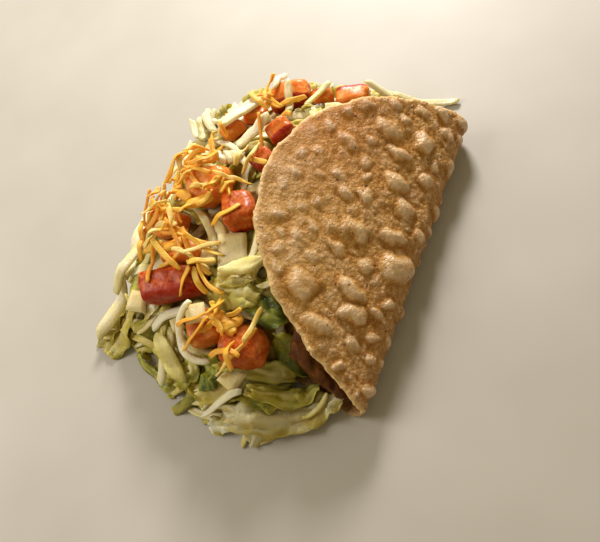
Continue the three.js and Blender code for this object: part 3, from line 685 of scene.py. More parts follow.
# How far a spot lies along the heap and across it, as shares of the way to its outline.
def mound_shares(x, y):
    along = np.abs(x) / np.where(x < 0, MOUND["near"], MOUND["far"])
    return along, np.maximum(0, y - MOUND["root"]) / MOUND["reach"]


def mound_share(x, y):
    along, across = mound_shares(x, y)
    return (along ** MOUND["square"] + across ** MOUND["square"]) ** (1 / MOUND["square"])


def mound_height(x, y):
    share = mound_share(x, y)
    inside = share < 1
    along, across = (np.where(inside, one, 1) for one in mound_shares(x, y))
    far = (1 - across ** FALL["far"]) ** FALL["far_ease"]
    end = (1 - along ** FALL["end"]) ** FALL["end_ease"]
    profile = far * end * np.sqrt(1 - np.minimum(share, 1) ** FALL["outline"])
    pressed = 1 - smoothstep(y, MOUND["pressed_to"], MOUND["pressed_from"])
    beside = smoothstep(np.abs(x), MOUND["beside_from"], MOUND["beside_to"])
    tucked = 1 - smoothstep(y, MOUND["inner"], MOUND["inner"] + MOUND["tuck"])
    return (MOUND["peak"] + MOUND["pressed"] * pressed) * profile * (1 - beside * tucked) * inside


def mound_top(x, y):
    return float(mound_height(np.float64(x), np.float64(y)))


def mound_floor(x, y):
    across = y - FOLD_RADIUS + FOLD_HALF
    outside = np.hypot(x, across) - rim_radius(-np.abs(np.arctan2(across, x)))
    return (LOWER_TOP + 2 * GAP) * (1 - smoothstep(outside, *LEDGE))


# Height of the inner face of the upper half, and open air where there is none.
def ceiling_height(x, y):
    across = np.linspace(0, 1.1 * TORTILLA_RADIUS, 300)
    line = sheet_point(0, across, -SHELL_THICKNESS / 2 - GAP)
    rising = np.maximum.accumulate(line[:, 1]) == line[:, 1]
    height = np.interp(y, line[rising, 1], line[rising, 2])
    at = np.interp(y, line[rising, 1], across[rising])
    under = np.hypot(x, at) < rim_radius(np.maximum(np.arctan2(at, x), 1e-6)) + 1.5
    return np.where(under & (y > FOLD_RADIUS), height, OPEN)


# Heights of what has been laid so far, on cells of one millimetre.
class Heap:
    low = np.array([-118, -4])
    size = np.array([232, 164])
    spacing = 0.7

    def __init__(self):
        x, y = np.meshgrid(*(self.low[k] + np.arange(self.size[k]) for k in (0, 1)), indexing="ij")
        self.x, self.y = x.astype(float), y.astype(float)
        self.target = mound_height(self.x, self.y)
        self.ground = mound_floor(self.x, self.y)
        self.roof = ceiling_height(self.x, self.y)
        self.share = mound_share(self.x, self.y)
        self.inside = (self.share < 1) & (self.y > MOUND["inner"])
        foot = 1 - smoothstep(self.share, *CORE["foot"])
        core = np.maximum((self.target * CORE["share"] - CORE["lower"]) * foot, self.ground)
        self.core = np.where(self.inside, core, self.ground)
        self.height = self.core.copy()

    def cell(self, x, y):
        i = np.clip(np.rint(x - self.low[0]).astype(int), 0, self.size[0] - 1)
        j = np.clip(np.rint(y - self.low[1]).astype(int), 0, self.size[1] - 1)
        return i, j

    def read(self, grid, x, y):
        return grid[self.cell(x, y)]

    # Raises the heap to the top of a piece given by a grid of points.
    def settle(self, middle, thick):
        fine = middle
        for axis in (0, 1):
            longest = np.linalg.norm(np.diff(fine, axis=axis), axis=-1).max()
            steps = int(np.ceil(longest / self.spacing)) + 1
            place = np.linspace(0, fine.shape[axis] - 1, (fine.shape[axis] - 1) * steps + 1)
            low = np.minimum(place.astype(int), fine.shape[axis] - 2)
            part = (place - low).reshape([-1 if k == axis else 1 for k in range(3)])
            fine = np.take(fine, low, axis) * (1 - part) + np.take(fine, low + 1, axis) * part
        spots = fine.reshape(-1, 3)
        np.maximum.at(self.height, self.cell(spots[:, 0], spots[:, 1]), spots[:, 2] + thick / 2)

    # Keeps a piece between the ground and the shell.
    def clamp(self, middle, thick):
        x, y = middle[..., 0], middle[..., 1]
        roof = self.read(self.roof, x, y) - thick / 2
        floor = self.read(self.ground, x, y) + thick / 2
        middle[..., 2] = np.maximum(np.minimum(middle[..., 2], roof), floor)
        return middle


# Line of points on the ground from one end of a shred, turning steadily by bend degrees.
def ground_line(x, y, heading, length, bend, steps):
    turn = np.radians(heading + bend * (np.arange(steps) + 0.5) / steps)
    step = length / steps
    return np.stack([
        x + np.concatenate([[0], np.cumsum(np.cos(turn))]) * step,
        y + np.concatenate([[0], np.cumsum(np.sin(turn))]) * step,
    ], -1)


# A shred bridges hollows up to this deep, and bends down no more steeply than this.
LAY = {"bridge": 3.0, "steepest": 1.1, "rounds": 60, "touches_at": (-0.4, 0, 0.4), "end_sag": 4}


# Lays a line on the heap: it touches the high spots and sags a little between them.
def lay_line(heap, line, width, thick, droop):
    side = unit(np.gradient(line, axis=0))[:, ::-1] * [-1, 1]
    spots = [line + side * width * share for share in LAY["touches_at"]]
    touch = np.max([heap.read(heap.height, spot[:, 0], spot[:, 1]) for spot in spots], axis=0) + thick / 2
    step = np.linalg.norm(line[1] - line[0])
    sag = droop * step * step
    end_sag = LAY["end_sag"] * sag
    height = touch.copy()
    for _ in range(LAY["rounds"]):
        height[1:-1] = np.maximum(touch[1:-1], (height[:-2] + height[2:]) / 2 - sag)
        height[0] = max(touch[0], 2 * height[1] - height[2] - end_sag)
        height[-1] = max(touch[-1], 2 * height[-2] - height[-3] - end_sag)
    height = np.minimum(height, touch + LAY["bridge"])
    for order in (1, -1):
        steep = height[::order]
        for k in range(1, len(steep)):
            steep[k] = max(steep[k], steep[k - 1] - LAY["steepest"] * step)
    padded = np.pad(height, 1, mode="edge")
    height = (padded[:-2] + 2 * height + padded[2:]) / 4
    return np.column_stack([line, height])


# Grid of points of a strip along a path: rolled about it, cupped across it, ruffled and cut slantwise.
def strip_grid(path, width, roll, cup, ruffle, phase, taper=0.35, rows=5, curl_end=0.0, slant=0.0):
    along = np.linspace(0, 1, len(path))[:, None]
    across = spread(rows)[None, :]
    to_end = np.abs(2 * along - 1)
    tangent = unit(np.gradient(path, axis=0))
    side = unit(np.cross(UP, tangent))[:, None, :]
    lift = np.cross(tangent[:, None, :], side)
    length = np.linalg.norm(np.diff(path, axis=0), axis=1).sum()
    half = width / 2 * (1 - taper * to_end ** 5)
    turn = np.radians(np.broadcast_to(np.asarray(roll, float).reshape(-1, 1), (len(path), 1)))
    flat = half * across
    edge = across**2
    bulge = cup * half * edge
    bulge = bulge + ruffle * edge * np.sin(phase + along * length / 2.2 + across)
    bulge = bulge + ruffle * 0.6 * np.sin(2 * phase + along * length / 4.1 - 1.5 * across)
    bulge = bulge + ruffle * 0.5 * flat_noise(along * length + 40 * phase + 0 * flat, flat, 2.6, 49)
    bulge = bulge + curl_end * to_end ** 6
    sideways = (flat * np.cos(turn) - bulge * np.sin(turn))[..., None]
    upward = (flat * np.sin(turn) + bulge * np.cos(turn))[..., None]
    cut = (slant * flat)[..., None] * tangent[:, None, :]
    return path[:, None, :] + sideways * side + upward * lift + cut


# Folds of a crumpled leaf, from 0 to 1: narrow crests that run lengthwise and wander.
def creases(along, across, seed):
    wander = 3.0 * flat_noise(along + 31 * seed, across, 9, 52)
    lengthwise = np.abs(flat_noise(along * 0.4 + 17 * seed, across + wander, 3.6, 53))
    crumple = np.abs(flat_noise(along + 23 * seed, across + wander, 3.2, 54))
    return np.clip(1 - 1.9 * lengthwise - 0.9 * crumple, 0, 1)


LEAF = {"columns": 26, "rows": 12, "pointed": 0.6, "ragged": 0.22, "uneven": 0.10, "bow": 0.10, "drape": 20}


# Grid of a leaf draped over the heap like wet cloth, then crumpled, with its folds and places on the leaf.
def leaf_grid(heap, x, y, heading, length, width, wave, seed):
    rng = np.random.default_rng(seed)
    u, v = square_grid(LEAF["columns"], LEAF["rows"])
    ragged = 1 + LEAF["ragged"] * flat_noise(u * 6 + seed, np.sign(v) * 9, 1.3, 50)
    uneven = 1 + LEAF["uneven"] * flat_noise(v * 5 + seed, np.sign(u) * 7, 1.1, 51)
    along = u * length / 2 * uneven
    across = v * width / 2 * np.sqrt(1 - LEAF["pointed"] * u * u) * ragged
    fold = creases(along, across, seed)
    across = across + LEAF["bow"] * length * (u * u - 0.4) * rng.uniform(-1, 1)
    off_x, off_y = turned(along, across, heading)
    px, py = x + off_x, y + off_y
    touch = heap.read(heap.height, px, py) + 0.5
    height = touch.copy()
    for _ in range(LEAF["drape"]):
        height = np.maximum(touch, smoothed(height, 1) - 0.05)
    points = np.stack([px, py, height], -1)
    spot = np.stack([px + 37 * seed, py, 0 * px], -1)
    start = 3 * rng.random()
    ruffle = np.sin(u * length / 2.6 + start + 2 * flat_noise(along, across, 6, 55)) * np.abs(v) ** 3
    points[..., 2] += wave * (0.2 + 1.3 * fold + 0.5 * noise(spot, 7, 56) + 0.7 * ruffle)
    points[..., 0] += 0.5 * wave * noise(spot, 4, 57)
    points[..., 1] += 0.5 * wave * noise(spot, 4, 58)
    return points, u, v, np.clip(fold + 0.25 * ruffle, 0, 1)


# ---- Tomato dice ----

# Place, size, heading and tip, the way the skin faces, and how pale the flesh is, which is partly the dice's
# own colour and partly painted light and shade for where it lies.
TOMATOES = [
    (-1, 95, (20, 17, 14), -68, 12, (0, 0, -1), 0.9),
    (-11, 74, (14, 17, 13), -60, -10, (0, 0, -1), 0.25),
    (-22, 108, (15, 12, 11), -80, 15, (0, 0, -1), 0.7),
    (-35, 95, (18, 11, 11), -68, -8, (0, 0, -1), 0.8),
    (-49, 95, (28, 14, 14), -66, 6, (-0.95, 0.1, 0.25), 0.05),
    (-63, 72, (15, 14, 12), -50, 10, (0, 0, -1), 0.6),
    (-66, 52, (19, 17, 13), -72, -6, (0, -0.5, -1), 0.3),
    (65, 86, (20, 13, 12), -68, 8, (-0.8, 0.3, -0.4), 0.8),
    (74, 56, (16, 10, 7), -66, -4, (0.9, 0, 0.3), 0.75),
    (36, 75, (12, 10, 10), -40, 12, (-0.8, -0.5, 0), 0.55),
    (34, 101, (11, 9, 8), -20, -14, (0, 0, -1), 0.7),
    (69, 70, (10, 8, 8), -60, 10, (0.9, 0.1, 0.4), 0.7),
    (46, 94, (12, 8, 8), -75, -8, (0, 0.6, -0.8), 0.7),
    (17, 75, (10, 8, 8), -30, 14, (-1, 0, 0), 0.3),
]
DICE = {"rise": 3, "square": 4.5, "bulge": 0.14, "wonk": 0.1, "seed": 47}
DICE_GRID = 18


# Points of a cube's six faces and its quads, with the points along edges shared.
def cube_grid(cells):
    steps = spread(cells + 1)
    place = {}
    points = []
    faces = []

    def number(spot):
        key = tuple(np.round(spot, 6))
        if key not in place:
            place[key] = len(points)
            points.append(spot)
        return place[key]

    for axis in range(3):
        a, b = (axis + 1) % 3, (axis + 2) % 3
        for side in (-1, 1):
            spots = np.empty((cells + 1, cells + 1), int)
            for i, j in itertools.product(range(cells + 1), repeat=2):
                spot = np.zeros(3)
                spot[axis], spot[a], spot[b] = side, steps[i], steps[j]
                spots[i, j] = number(spot)
            quads = grid_quads(spots)
            faces.append(quads if side > 0 else quads[:, ::-1])
    return np.array(points), np.concatenate(faces)


# Points of a dice, and how far along the axis nearest to its skin each one lies, from -1 to 1.
def dice_points(dice, cube):
    x, y, size, heading, tip, skin_side, _ = dice
    draw = make_random(DICE["seed"] + abs(x))
    lean = (np.array([draw(), draw(), draw()]) - 0.5) * 2 * DICE["wonk"]
    power = DICE["square"]
    p = cube * ((np.abs(cube) ** power).sum(1) ** (-1 / power))[:, None]
    square = p.copy()
    bulge = DICE["bulge"] * np.maximum(0, p[:, 0]) * (1 - p[:, 1] ** 2) * (1 - p[:, 2] ** 2)
    p[:, 0] += bulge + lean[0] * p[:, 2]
    p[:, 1] *= 1 + lean[1] * p[:, 0]
    p[:, 2] *= 1 + lean[2] * p[:, 1]
    p = p * np.array(size) / 2
    spot = p + [31 * x, 17 * y, 0]
    p = p * (1 + 0.10 * noise(spot, 6, 61) + 0.045 * noise(spot, 2.6, 62))[:, None]
    turn = Matrix.Rotation(math.radians(heading), 3, "Z") @ Matrix.Rotation(math.radians(-tip / 2), 3, "Y")
    turn = np.array(turn @ Matrix.Rotation(math.radians(tip), 3, "X"))
    facing = turn.T @ np.array(skin_side, float)
    axis = np.abs(facing).argmax()
    place = [x, y, mound_top(x, y) + DICE["rise"]]
    return p @ turn.T + place, square[:, axis] * np.sign(facing[axis])


# Builds the dice and gives the heights of their undersides and of their tops, on the cells of the heap.
def build_tomatoes(heap, material):
    cube, faces = cube_grid(DICE_GRID)
    under = np.full(heap.height.shape, OPEN)
    over = np.full(heap.height.shape, -1.0)
    for number, dice in enumerate(TOMATOES, 1):
        points, outward = dice_points(dice, cube)
        skin = outward + 0.12 * noise(points + 50, 4, 63)
        values = {"skin": smoothstep(skin, 0.2, 0.65), "tone": np.full(len(points), dice[-1])}
        add_mesh(f"tomato_look_{number}", points, faces, material, values, [f"tomato_{number}"])
        for nudge in itertools.product((-0.5, 0.5), repeat=2):
            cell = heap.cell(points[:, 0] + nudge[0], points[:, 1] + nudge[1])
            np.minimum.at(under, cell, points[:, 2])
            np.maximum.at(over, cell, points[:, 2])
    return under, over


# ---- Bean and meat filling ----

# Bar inside the fold: lumps of bean and meat in a paste, rounded off at both ends.
def build_beans(material):
    along = spread(BEANS["stations"])[:, None]
    u = np.sin(along * math.pi / 2)
    x = BEANS["half"] * u
    swell = (1 - np.abs(u) ** BEANS["end_power"]) ** 0.5
    rim_across = np.sqrt((TORTILLA_RADIUS * (1 - END_FLAT)) ** 2 - x * x)
    clear = -SHELL_THICKNESS / 2 - GAP
    start = sheet_point(x, 0 * x, clear)[..., 1]
    end = np.minimum(BEANS["reach"], fold_profile(-rim_across)[0] - BEANS["inset"])
    line = np.linspace(0, 60, 400)
    upper = sheet_point(0, line, clear)
    lower = sheet_point(0, -line, clear)

    # The section goes round between the two halves of the shell.
    turn = np.linspace(0, 2 * math.pi, BEANS["ring"], endpoint=False)[None, :]
    side = np.sin(turn)
    y = start + (end - start) * (0.5 - 0.5 * np.cos(turn)) ** BEANS["lean"]
    top = np.interp(y, np.maximum.accumulate(upper[:, 1]), upper[:, 2])
    bottom = np.interp(y, np.maximum.accumulate(lower[:, 1]), lower[:, 2])
    z = bottom + (top - bottom) * (0.5 + 0.5 * np.sign(side) * np.abs(side) ** BEANS["corner"])
    middle_y = start * (1 - BEANS["middle"]) + end * BEANS["middle"]
    middle_z = (np.interp(middle_y, upper[:, 1], upper[:, 2]) + LOWER_TOP) / 2
    y = middle_y + (y - middle_y) * swell
    z = middle_z + (z - middle_z) * swell
    points = np.stack([x + 0 * y, y, z], -1)

    rng = np.random.default_rng(LUMPS["seed"])
    seeds = np.column_stack([rng.uniform(low, high, LUMPS["count"]) for low, high in LUMPS["within"]])
    size = rng.uniform(*LUMPS["size"], LUMPS["count"])
    flat = points.reshape(-1, 3)
    lump = np.zeros(len(flat))
    for seed, radius in zip(seeds, size):
        near = np.abs(flat - seed).max(1) < radius
        reach = np.linalg.norm(flat[near] - seed, axis=1) / radius
        rise = np.sqrt(np.maximum(0, 1 - reach**2)) * radius / LUMPS["full"]
        lump[near] = np.maximum(lump[near], rise)
    inward = unit(np.stack([BEANS["shrink"] * x, middle_y, middle_z], -1) - points)
    depth = LUMPS["sink"] - LUMPS["rise"] * lump.reshape(points.shape[:2]) + 0.5 * noise(points, 2.4, 72)
    points = points + inward * np.maximum(depth, 0)[..., None]
    index = np.arange(len(flat)).reshape(points.shape[:2])
    after = np.roll(index, -1, axis=1)
    faces = np.stack([index[:-1], after[:-1], after[1:], index[1:]], -1).reshape(-1, 4)
    add_mesh("beans_look", points.reshape(-1, 3), faces, material, {"lump": lump}, ["beans"])


# ---- Lettuce ----

# x, y, heading, length, width, thick, bend, tint, lift of the far end
SHREDS = [
    (2, 138, 190, 50, 5.6, 2.4, 0, 0.1, 0), (-45, 130, 188, 32, 6.4, 2.2, -40, 0.12, 0),
    (-16, 125, 176, 40, 4.6, 2.0, -6, 0.2, 0), (-69, 88, 170, 19, 5, 2, 0, 0.15, 0),
    (-70, 94, -141, 22, 7, 1.8, 10, 0.32, 0), (-57, 76, 115, 34, 3, 1.8, 190, 0.02, 0),
    (-95, 66, -66, 24, 3, 1.2, 12, 0.0, 0), (-39, 67, -70, 15, 7, 3, 0, 0.25, 0),
    (30, 104, -29, 25, 5.8, 2.6, 6, 0.02, 0), (24, 93, -45, 20, 4.8, 2.4, 5, 0.05, 1),
    (35, 122, -6, 14, 2.6, 1.6, 5, 0.05, 1), (27, 109, -98, 34, 3.0, 1.8, -42, 0.06, 0),
    (12, 96, -70, 11, 7, 3, 0, 0.12, 0), (30, 120, 30, 20, 4.4, 1.6, 15, 0.15, 2),
    (36, 116, 50, 20, 4.4, 1.6, -20, 0.1, 2), (64, 91, 8, 15, 3.2, 1.6, 8, 0.05, 2),
    (53, 80, 16, 15, 3.8, 1.8, 8, 0.12, 1), (58, 72, -14, 17, 3.2, 1.6, -14, 0.2, 1),
    (33, 109, 14, 11, 5, 2.2, 5, 0.05, 0), (30, 123, 36, 12, 3.0, 1.6, 0, 0.08, 1),
    (80, 50, -80, 28, 4, 1.6, -14, 0.1, 0), (82.5, 38, -72, 31, 3.4, 1.6, 4, 0.08, 0),
    (-3, 134, -160, 18, 4, 1.6, 20, 0.12, 0), (26, 127, 220, 16, 6, 2.4, 0, 0.1, 0),
    (-82, 24, -60, 15, 2, 1.4, 60, 0.3, 0),
]

# x, y, heading, length, width, wave, tint
LEAVES = [
    (-76, 31, -58, 26, 9, 1.6, 0.45), (-83, 30, -57, 48, 13, 2.4, 0.14), (-91, 49, -64, 30, 8, 2.6, 0.02),
    (-89, 32, -54, 30, 7, 2.6, 0.04), (-82, 50, -86, 32, 12, 1.5, 0.55), (-79, 51, -54, 38, 10, 1.8, 0.30),
    (-88, 43, -40, 18, 8, 2.4, 0.14), (-77, 37, -58, 20, 8, 1.4, 0.45), (-71, 47, -74, 30, 9, 1.6, 0.42),
    (-69, 127, -20, 28, 21, 2.0, 0.40), (-66, 134, 10, 22, 10, 2.0, 0.28), (-57, 108, 40, 14, 11, 1.2, 0.12),
    (-81, 79, -60, 15, 13, 2.2, 0.50), (-86, 71, 60, 16, 8, 1.8, 0.40), (-79, 65, 20, 14, 10, 1.8, 0.74),
    (-50, 46, -107, 20, 11, 2.0, 0.88), (-61, 34, -105, 14, 10, 2.6, 0.68), (-47, 63, -92, 28, 12, 1.6, 0.42),
    (-40, 62, -70, 16, 10, 1.6, 0.30), (70, 112, 40, 22, 13, 2.0, 0.6), (52, 124, 10, 24, 14, 2.0, 0.5),
    (78, 88, 70, 20, 12, 1.8, 0.45), (61, 73, -50, 14, 10, 2.2, -0.05),
]

# Pale blocks of rib: x, y, heading, size, height over the mound
CHUNKS = [
    (-34, 82, -60, (8, 8, 4), 1), (-28, 71, -66, (13, 15, 3), 1), (-79, 52, -20, (9, 8, 5.5), 1),
    (-59, 112, 10, (9, 8, 6), 2), (-60, 74, 30, (8, 8, 4), 11), (-64, 88, 50, (6, 5, 4), 1),
]

# Random pieces in the heap and round its foot: how many there are at most, the rounds and the tries in
# each, how far they may stand over the mound in the mean and at most, and how far out they may reach.
FILL = {"pieces": 420, "rounds": 1100, "tries": 5, "mean": 0.6, "most": 4, "out": 1.03, "seed": 81}
SKIRT = {"pieces": 85, "rounds": 900, "tries": 1, "mean": 2.6, "most": 7.5, "out": 1.045, "seed": 83}
FILL_PICKS = 16
SKIRT_ARC = (-6, 140)
UNDER_DICE = 0.2

# Crumpled pieces of leaf and plain ones of rib: points along and across, sag, roll, ruffle, folds,
# thin edges and darker edges.
CRUMPLED = {"steps": 16, "rows": 7, "sag": 0.05, "roll": 24, "fold": 0.5, "thin": 0.55, "dark": 0.16}
PLAIN = {"steps": 12, "rows": 5, "sag": 0.012, "roll": 9, "fold": 0.2, "thin": 0.6, "dark": 0.05}


# How green the lettuce is: greener at the near end, whiter at the far one.
def local_tint(x, rng):
    return 0.30 - 0.0016 * x + rng.normal(0, 0.12)


# Grid and thickness of a shred that lies on the heap, with its colour values.
def strip_piece(heap, x, y, heading, length, width, thick, bend, tint, lift, rng, crumpled):
    kind = CRUMPLED if crumpled else PLAIN
    points = kind["steps"] + 1
    path = lay_line(heap, ground_line(x, y, heading, length, bend, kind["steps"]), width, thick, kind["sag"])
    rise = np.linspace(0, 1, points) ** 2 * lift
    roll = rng.normal(0, kind["roll"]) + spread(points) * rng.normal(0, 14)
    path[:, 2] += rise + 0.35 * width / 2 * np.abs(np.sin(np.radians(roll)))
    grid = strip_grid(
        path, width, roll, cup=rng.uniform(-0.3, 0.45), ruffle=rng.uniform(0.6, 1.3) if crumpled else 0.15,
        phase=rng.uniform(0, 6), rows=kind["rows"], curl_end=rng.uniform(-0.4, 1.2),
        slant=rng.uniform(-1.3, 1.3),
    )
    across = spread(kind["rows"])[None, :]
    place = np.broadcast_arrays(np.linspace(0, length, points)[:, None], across * width / 2)
    fold = creases(*place, int(rng.integers(1, 99)))
    grid[..., 2] += fold * kind["fold"]
    grid = heap.clamp(grid, thick)
    depth = thick * np.sqrt(1 - kind["thin"] * across**4) * np.ones(grid.shape[:2])
    shade = tint + kind["dark"] * across**2 + 0.05 * noise(grid + 3 * tint, 5, 57)
    return grid, depth, shade, (fold if crumpled else 0.45 + 0.4 * fold)


# Grid and thickness of a crumpled leaf that lies on the heap, with its colour values.
def leaf_piece(heap, x, y, heading, length, width, wave, tint, rng):
    seed = int(rng.integers(1, 9999))
    grid, u, v, fold = leaf_grid(heap, x, y, heading, length, width, wave, seed)
    grid = heap.clamp(grid, 0.6)
    rib = np.exp(-((v + 0.3 * rng.uniform(-1, 1)) / 0.22) ** 2)
    depth = 0.45 + 0.9 * rib * (1 - u * u)
    shade = tint + 0.12 * (v * v) + 0.1 * u * rng.uniform(-1, 1) - 0.18 * rib + 0.06 * noise(grid, 6, 58)
    return grid, depth, shade, fold


# Lays a piece, with a random tone from darkest to 1 that paints some shade on it.
def put_down(heap, batch, piece, rng, darkest=0.6):
    grid, depth, shade, fold = piece
    # The fold values paint a highlight on the crests and shade in the creases.
    batch.add(grid, depth, tint=shade, tone=rng.uniform(darkest, 1.0), crest=fold)
    heap.settle(grid, float(np.mean(depth)))


def build_chunk(batch, heap, x, y, heading, size, lift, rng):
    u, v = square_grid(7, 7)
    off_x, off_y = turned(u * size[0] / 2, v * size[1] / 2 * (1 - 0.1 * u), heading)
    laid = float(heap.read(heap.height, np.float64(x), np.float64(y)))
    base = max(mound_top(x, y) + lift, laid + size[2] / 2 - 1)
    grid = np.stack([x + off_x, y + off_y, base + 0.8 * u * rng.uniform(-1, 1) + 0.6 * v - 0.4 * u * u], -1)
    thick = size[2] * (1 - 0.25 * np.maximum(np.abs(u), np.abs(v)) ** 6)
    # The tone paints some shade on each chunk, and the crest value paints one side paler and the other a
    # little darker, as painted light and shade.
    batch.add(grid, thick, tint=0.16 + 0.05 * u, tone=0.75, crest=0.6 - 0.2 * v)
    heap.settle(grid, size[2])


# Core that shows only in the gaps between shreds, painted in the darkest shade to stand for the shade deep in
# the heap.
def core_piece(batch, heap):
    u, v = disc_grid(CORE["cells"])
    angle = np.arctan2(v, u)
    middle_x, middle_y = CORE["middle"]
    low, high = np.zeros_like(angle), np.full_like(angle, OPEN)
    for _ in range(24):
        reach = (low + high) / 2
        x, y = middle_x + reach * np.cos(angle), middle_y + reach * np.sin(angle)
        within = (y > MOUND["inner"]) & (mound_share(x, y) < CORE["outermost"])
        low, high = np.where(within, reach, low), np.where(within, high, reach)
    reach = np.hypot(u, v) * low
    x, y = middle_x + reach * np.cos(angle), middle_y + reach * np.sin(angle)
    under = mound_floor(x, y)
    bumps = 1.2 * flat_noise(x, y, 5, 59) + 1.0 * flat_noise(x, y, 2.6, 64)
    top = np.maximum(heap.read(heap.core, x, y) + bumps, under + 0.8)
    top = np.minimum(top, heap.read(heap.roof, x, y) - 0.5)
    points = np.concatenate([np.stack([x, y, z], -1).reshape(-1, 3) for z in (top, under)])
    tint = 0.40 - 0.0014 * x + 0.1 * flat_noise(x, y, 8, 60)
    batch.add_faces(points, x.shape, tint=tint, tone=0.0, crest=0.3)


# Random shred or leaf through a spot of the heap.
def fill_piece(heap, x, y, rng):
    heading = rng.uniform(0, 360)
    leafy = rng.random() < 0.36 - 0.0018 * x
    tint = local_tint(x, rng)
    if leafy and rng.random() < 0.3:
        size = rng.uniform(15, 26), rng.uniform(9, 14), rng.uniform(0.6, 1.3)
        return leaf_piece(heap, x, y, heading, *size, tint + 0.12, rng)
    length = rng.uniform(16, 38)
    bend = rng.uniform(-80, 80)
    off_x, off_y = turned(length / 2, 0, heading)
    width = rng.uniform(4, 8) if leafy else rng.uniform(3, 5.6)
    thick = rng.uniform(0.45, 0.7) if leafy else rng.uniform(0.9, 1.7)
    tint += 0.1 if leafy else -0.14
    start = x - off_x, y - off_y
    return strip_piece(heap, *start, heading - bend / 2, length, width, thick, bend, tint, 0, rng, leafy)


# Random shred near the foot of the heap, which lies along it or hangs down over it.
def skirt_piece(heap, rng):
    angle = rng.uniform(*SKIRT_ARC)
    away = np.array(turned(1, 0, angle))
    edge = away / mound_share(away[0], MOUND["root"] + away[1])
    hangs = rng.random() < 0.55
    leafy = rng.random() < 0.5
    length = rng.uniform(11, 20) if hangs else rng.uniform(14, 30)
    heading = angle + (rng.normal(0, 22) if hangs else 90 + rng.normal(0, 15))
    share = rng.uniform(0.84, 0.94) if hangs else rng.uniform(0.9, 1.01)
    start = [0, MOUND["root"]] + edge * share - turned(length / 2, 0, heading)
    width = rng.uniform(5, 9) if leafy else rng.uniform(3, 5)
    thick = 0.6 if leafy else rng.uniform(0.9, 1.6)
    tint = local_tint(start[0], rng) + (0.1 if leafy else -0.14)
    bend = rng.uniform(-40, 40)
    return strip_piece(heap, *start, heading - bend / 2, length, width, thick, bend, tint, 0, rng, leafy)


# How far a piece stands over the mound in the mean, or infinity where it may not lie.
def stand(heap, piece, limit, rules):
    grid, depth = piece[:2]
    x, y = grid[..., 0], grid[..., 1]
    stray = mound_share(x, y).max() > rules["out"]
    deep = ((y < MOUND["inner"] + 2) & (np.abs(x) < TORTILLA_RADIUS)).any()
    blocked = (grid[..., 2] + depth / 2 > heap.read(limit, x, y)).any()
    over = grid[..., 2] - heap.read(heap.target, x, y)
    high = over.max() > rules["most"] or over.mean() > rules["mean"]
    return math.inf if stray or deep or blocked or high else over.mean()


# Lays random pieces: in each round the one of some tries that stands least over the mound.
def fill(heap, batch, limit, rules, make_pieces):
    rng = np.random.default_rng(rules["seed"])
    laid = 0
    for _ in range(rules["rounds"]):
        pieces = make_pieces(rules["tries"], rng)
        stands = [stand(heap, piece, limit, rules) for piece in pieces]
        if min(stands) < math.inf:
            put_down(heap, batch, pieces[np.argmin(stands)], rng)
            laid += 1
        if laid == rules["pieces"]:
            break


def build_lettuce(heap, under_dice, over_dice, material):
    batch = Batch(["tint", "tone", "crest"])
    free = under_dice >= OPEN
    limit = np.minimum(np.where(free, OPEN, under_dice - UNDER_DICE), heap.roof)
    wanted = np.minimum(np.minimum(heap.target, np.where(free, OPEN, under_dice - 1.0)), heap.roof - 1.5)
    spots = np.argwhere(heap.inside & (heap.share < 0.98) & (heap.y > MOUND["inner"] + 2))

    def skirt_pieces(tries, rng):
        return [skirt_piece(heap, rng) for _ in range(tries)]

    # The pieces lie through the lowest of some random spots.
    def fill_pieces(tries, rng):
        pick = spots[rng.integers(0, len(spots), FILL_PICKS)]
        need = (wanted - heap.height)[pick[:, 0], pick[:, 1]]
        best = tuple(pick[need.argmax()])
        return [fill_piece(heap, heap.x[best], heap.y[best], rng) for _ in range(tries)]

    core_piece(batch, heap)
    fill(heap, batch, limit, SKIRT, skirt_pieces)
    fill(heap, batch, limit, FILL, fill_pieces)
    rng = np.random.default_rng(FILL["seed"] + 1)
    for leaf in sorted(LEAVES, key=lambda one: -abs(one[0])):
        put_down(heap, batch, leaf_piece(heap, *leaf, rng), rng)
    for chunk in CHUNKS:
        build_chunk(batch, heap, *chunk, rng)
    heap.height = np.maximum(heap.height, over_dice)
    for shred in SHREDS:
        put_down(heap, batch, strip_piece(heap, *shred, rng, False), rng, darkest=0.9)
    batch.build("lettuce_look", material, ["lettuce"])


# ---- Grated cheese ----

# Middle of a patch, its half width and depth, number of strands and how pale they are.
CHEESE_PATCHES = [
    (-5, 117, 26, 9, 22, 0.55), (-9, 88, 12, 11, 9, 0.4), (-26, 104, 10, 14, 13, 0.45),
    (-38, 84, 7, 11, 9, 0.5), (-60, 62, 6, 5, 5, 0.35), (-66, 48, 6, 7, 6, 0.3), (24, 108, 12, 12, 2, 0.5),
    (62, 98, 9, 7, 6, 0.4), (52, 86, 7, 9, 6, 0.5), (5, 98, 12, 12, 7, 0.5), (-36, 102, 6, 9, 5, 0.4),
    (-20, 122, 20, 5, 8, 0.4), (10, 80, 12, 10, 4, 0.45), (-61, 63, 3, 6, 4, 0.3), (-80, 30, 4, 3, 1, 0.0),
]
CHEESE_SEED = 91
STRAND = {
    "steps": 12, "length": (7, 21), "width": (1.6, 2.7), "bend": 36, "sag": 0.03, "thick": 1.1, "laid": 0.9,
    "section": [0.5, 0.95, 1.1, 0.95, 0.5], "scale": (0.75, 1.1), "outermost": 0.9, "slant": (-0.7, 0.7),
}

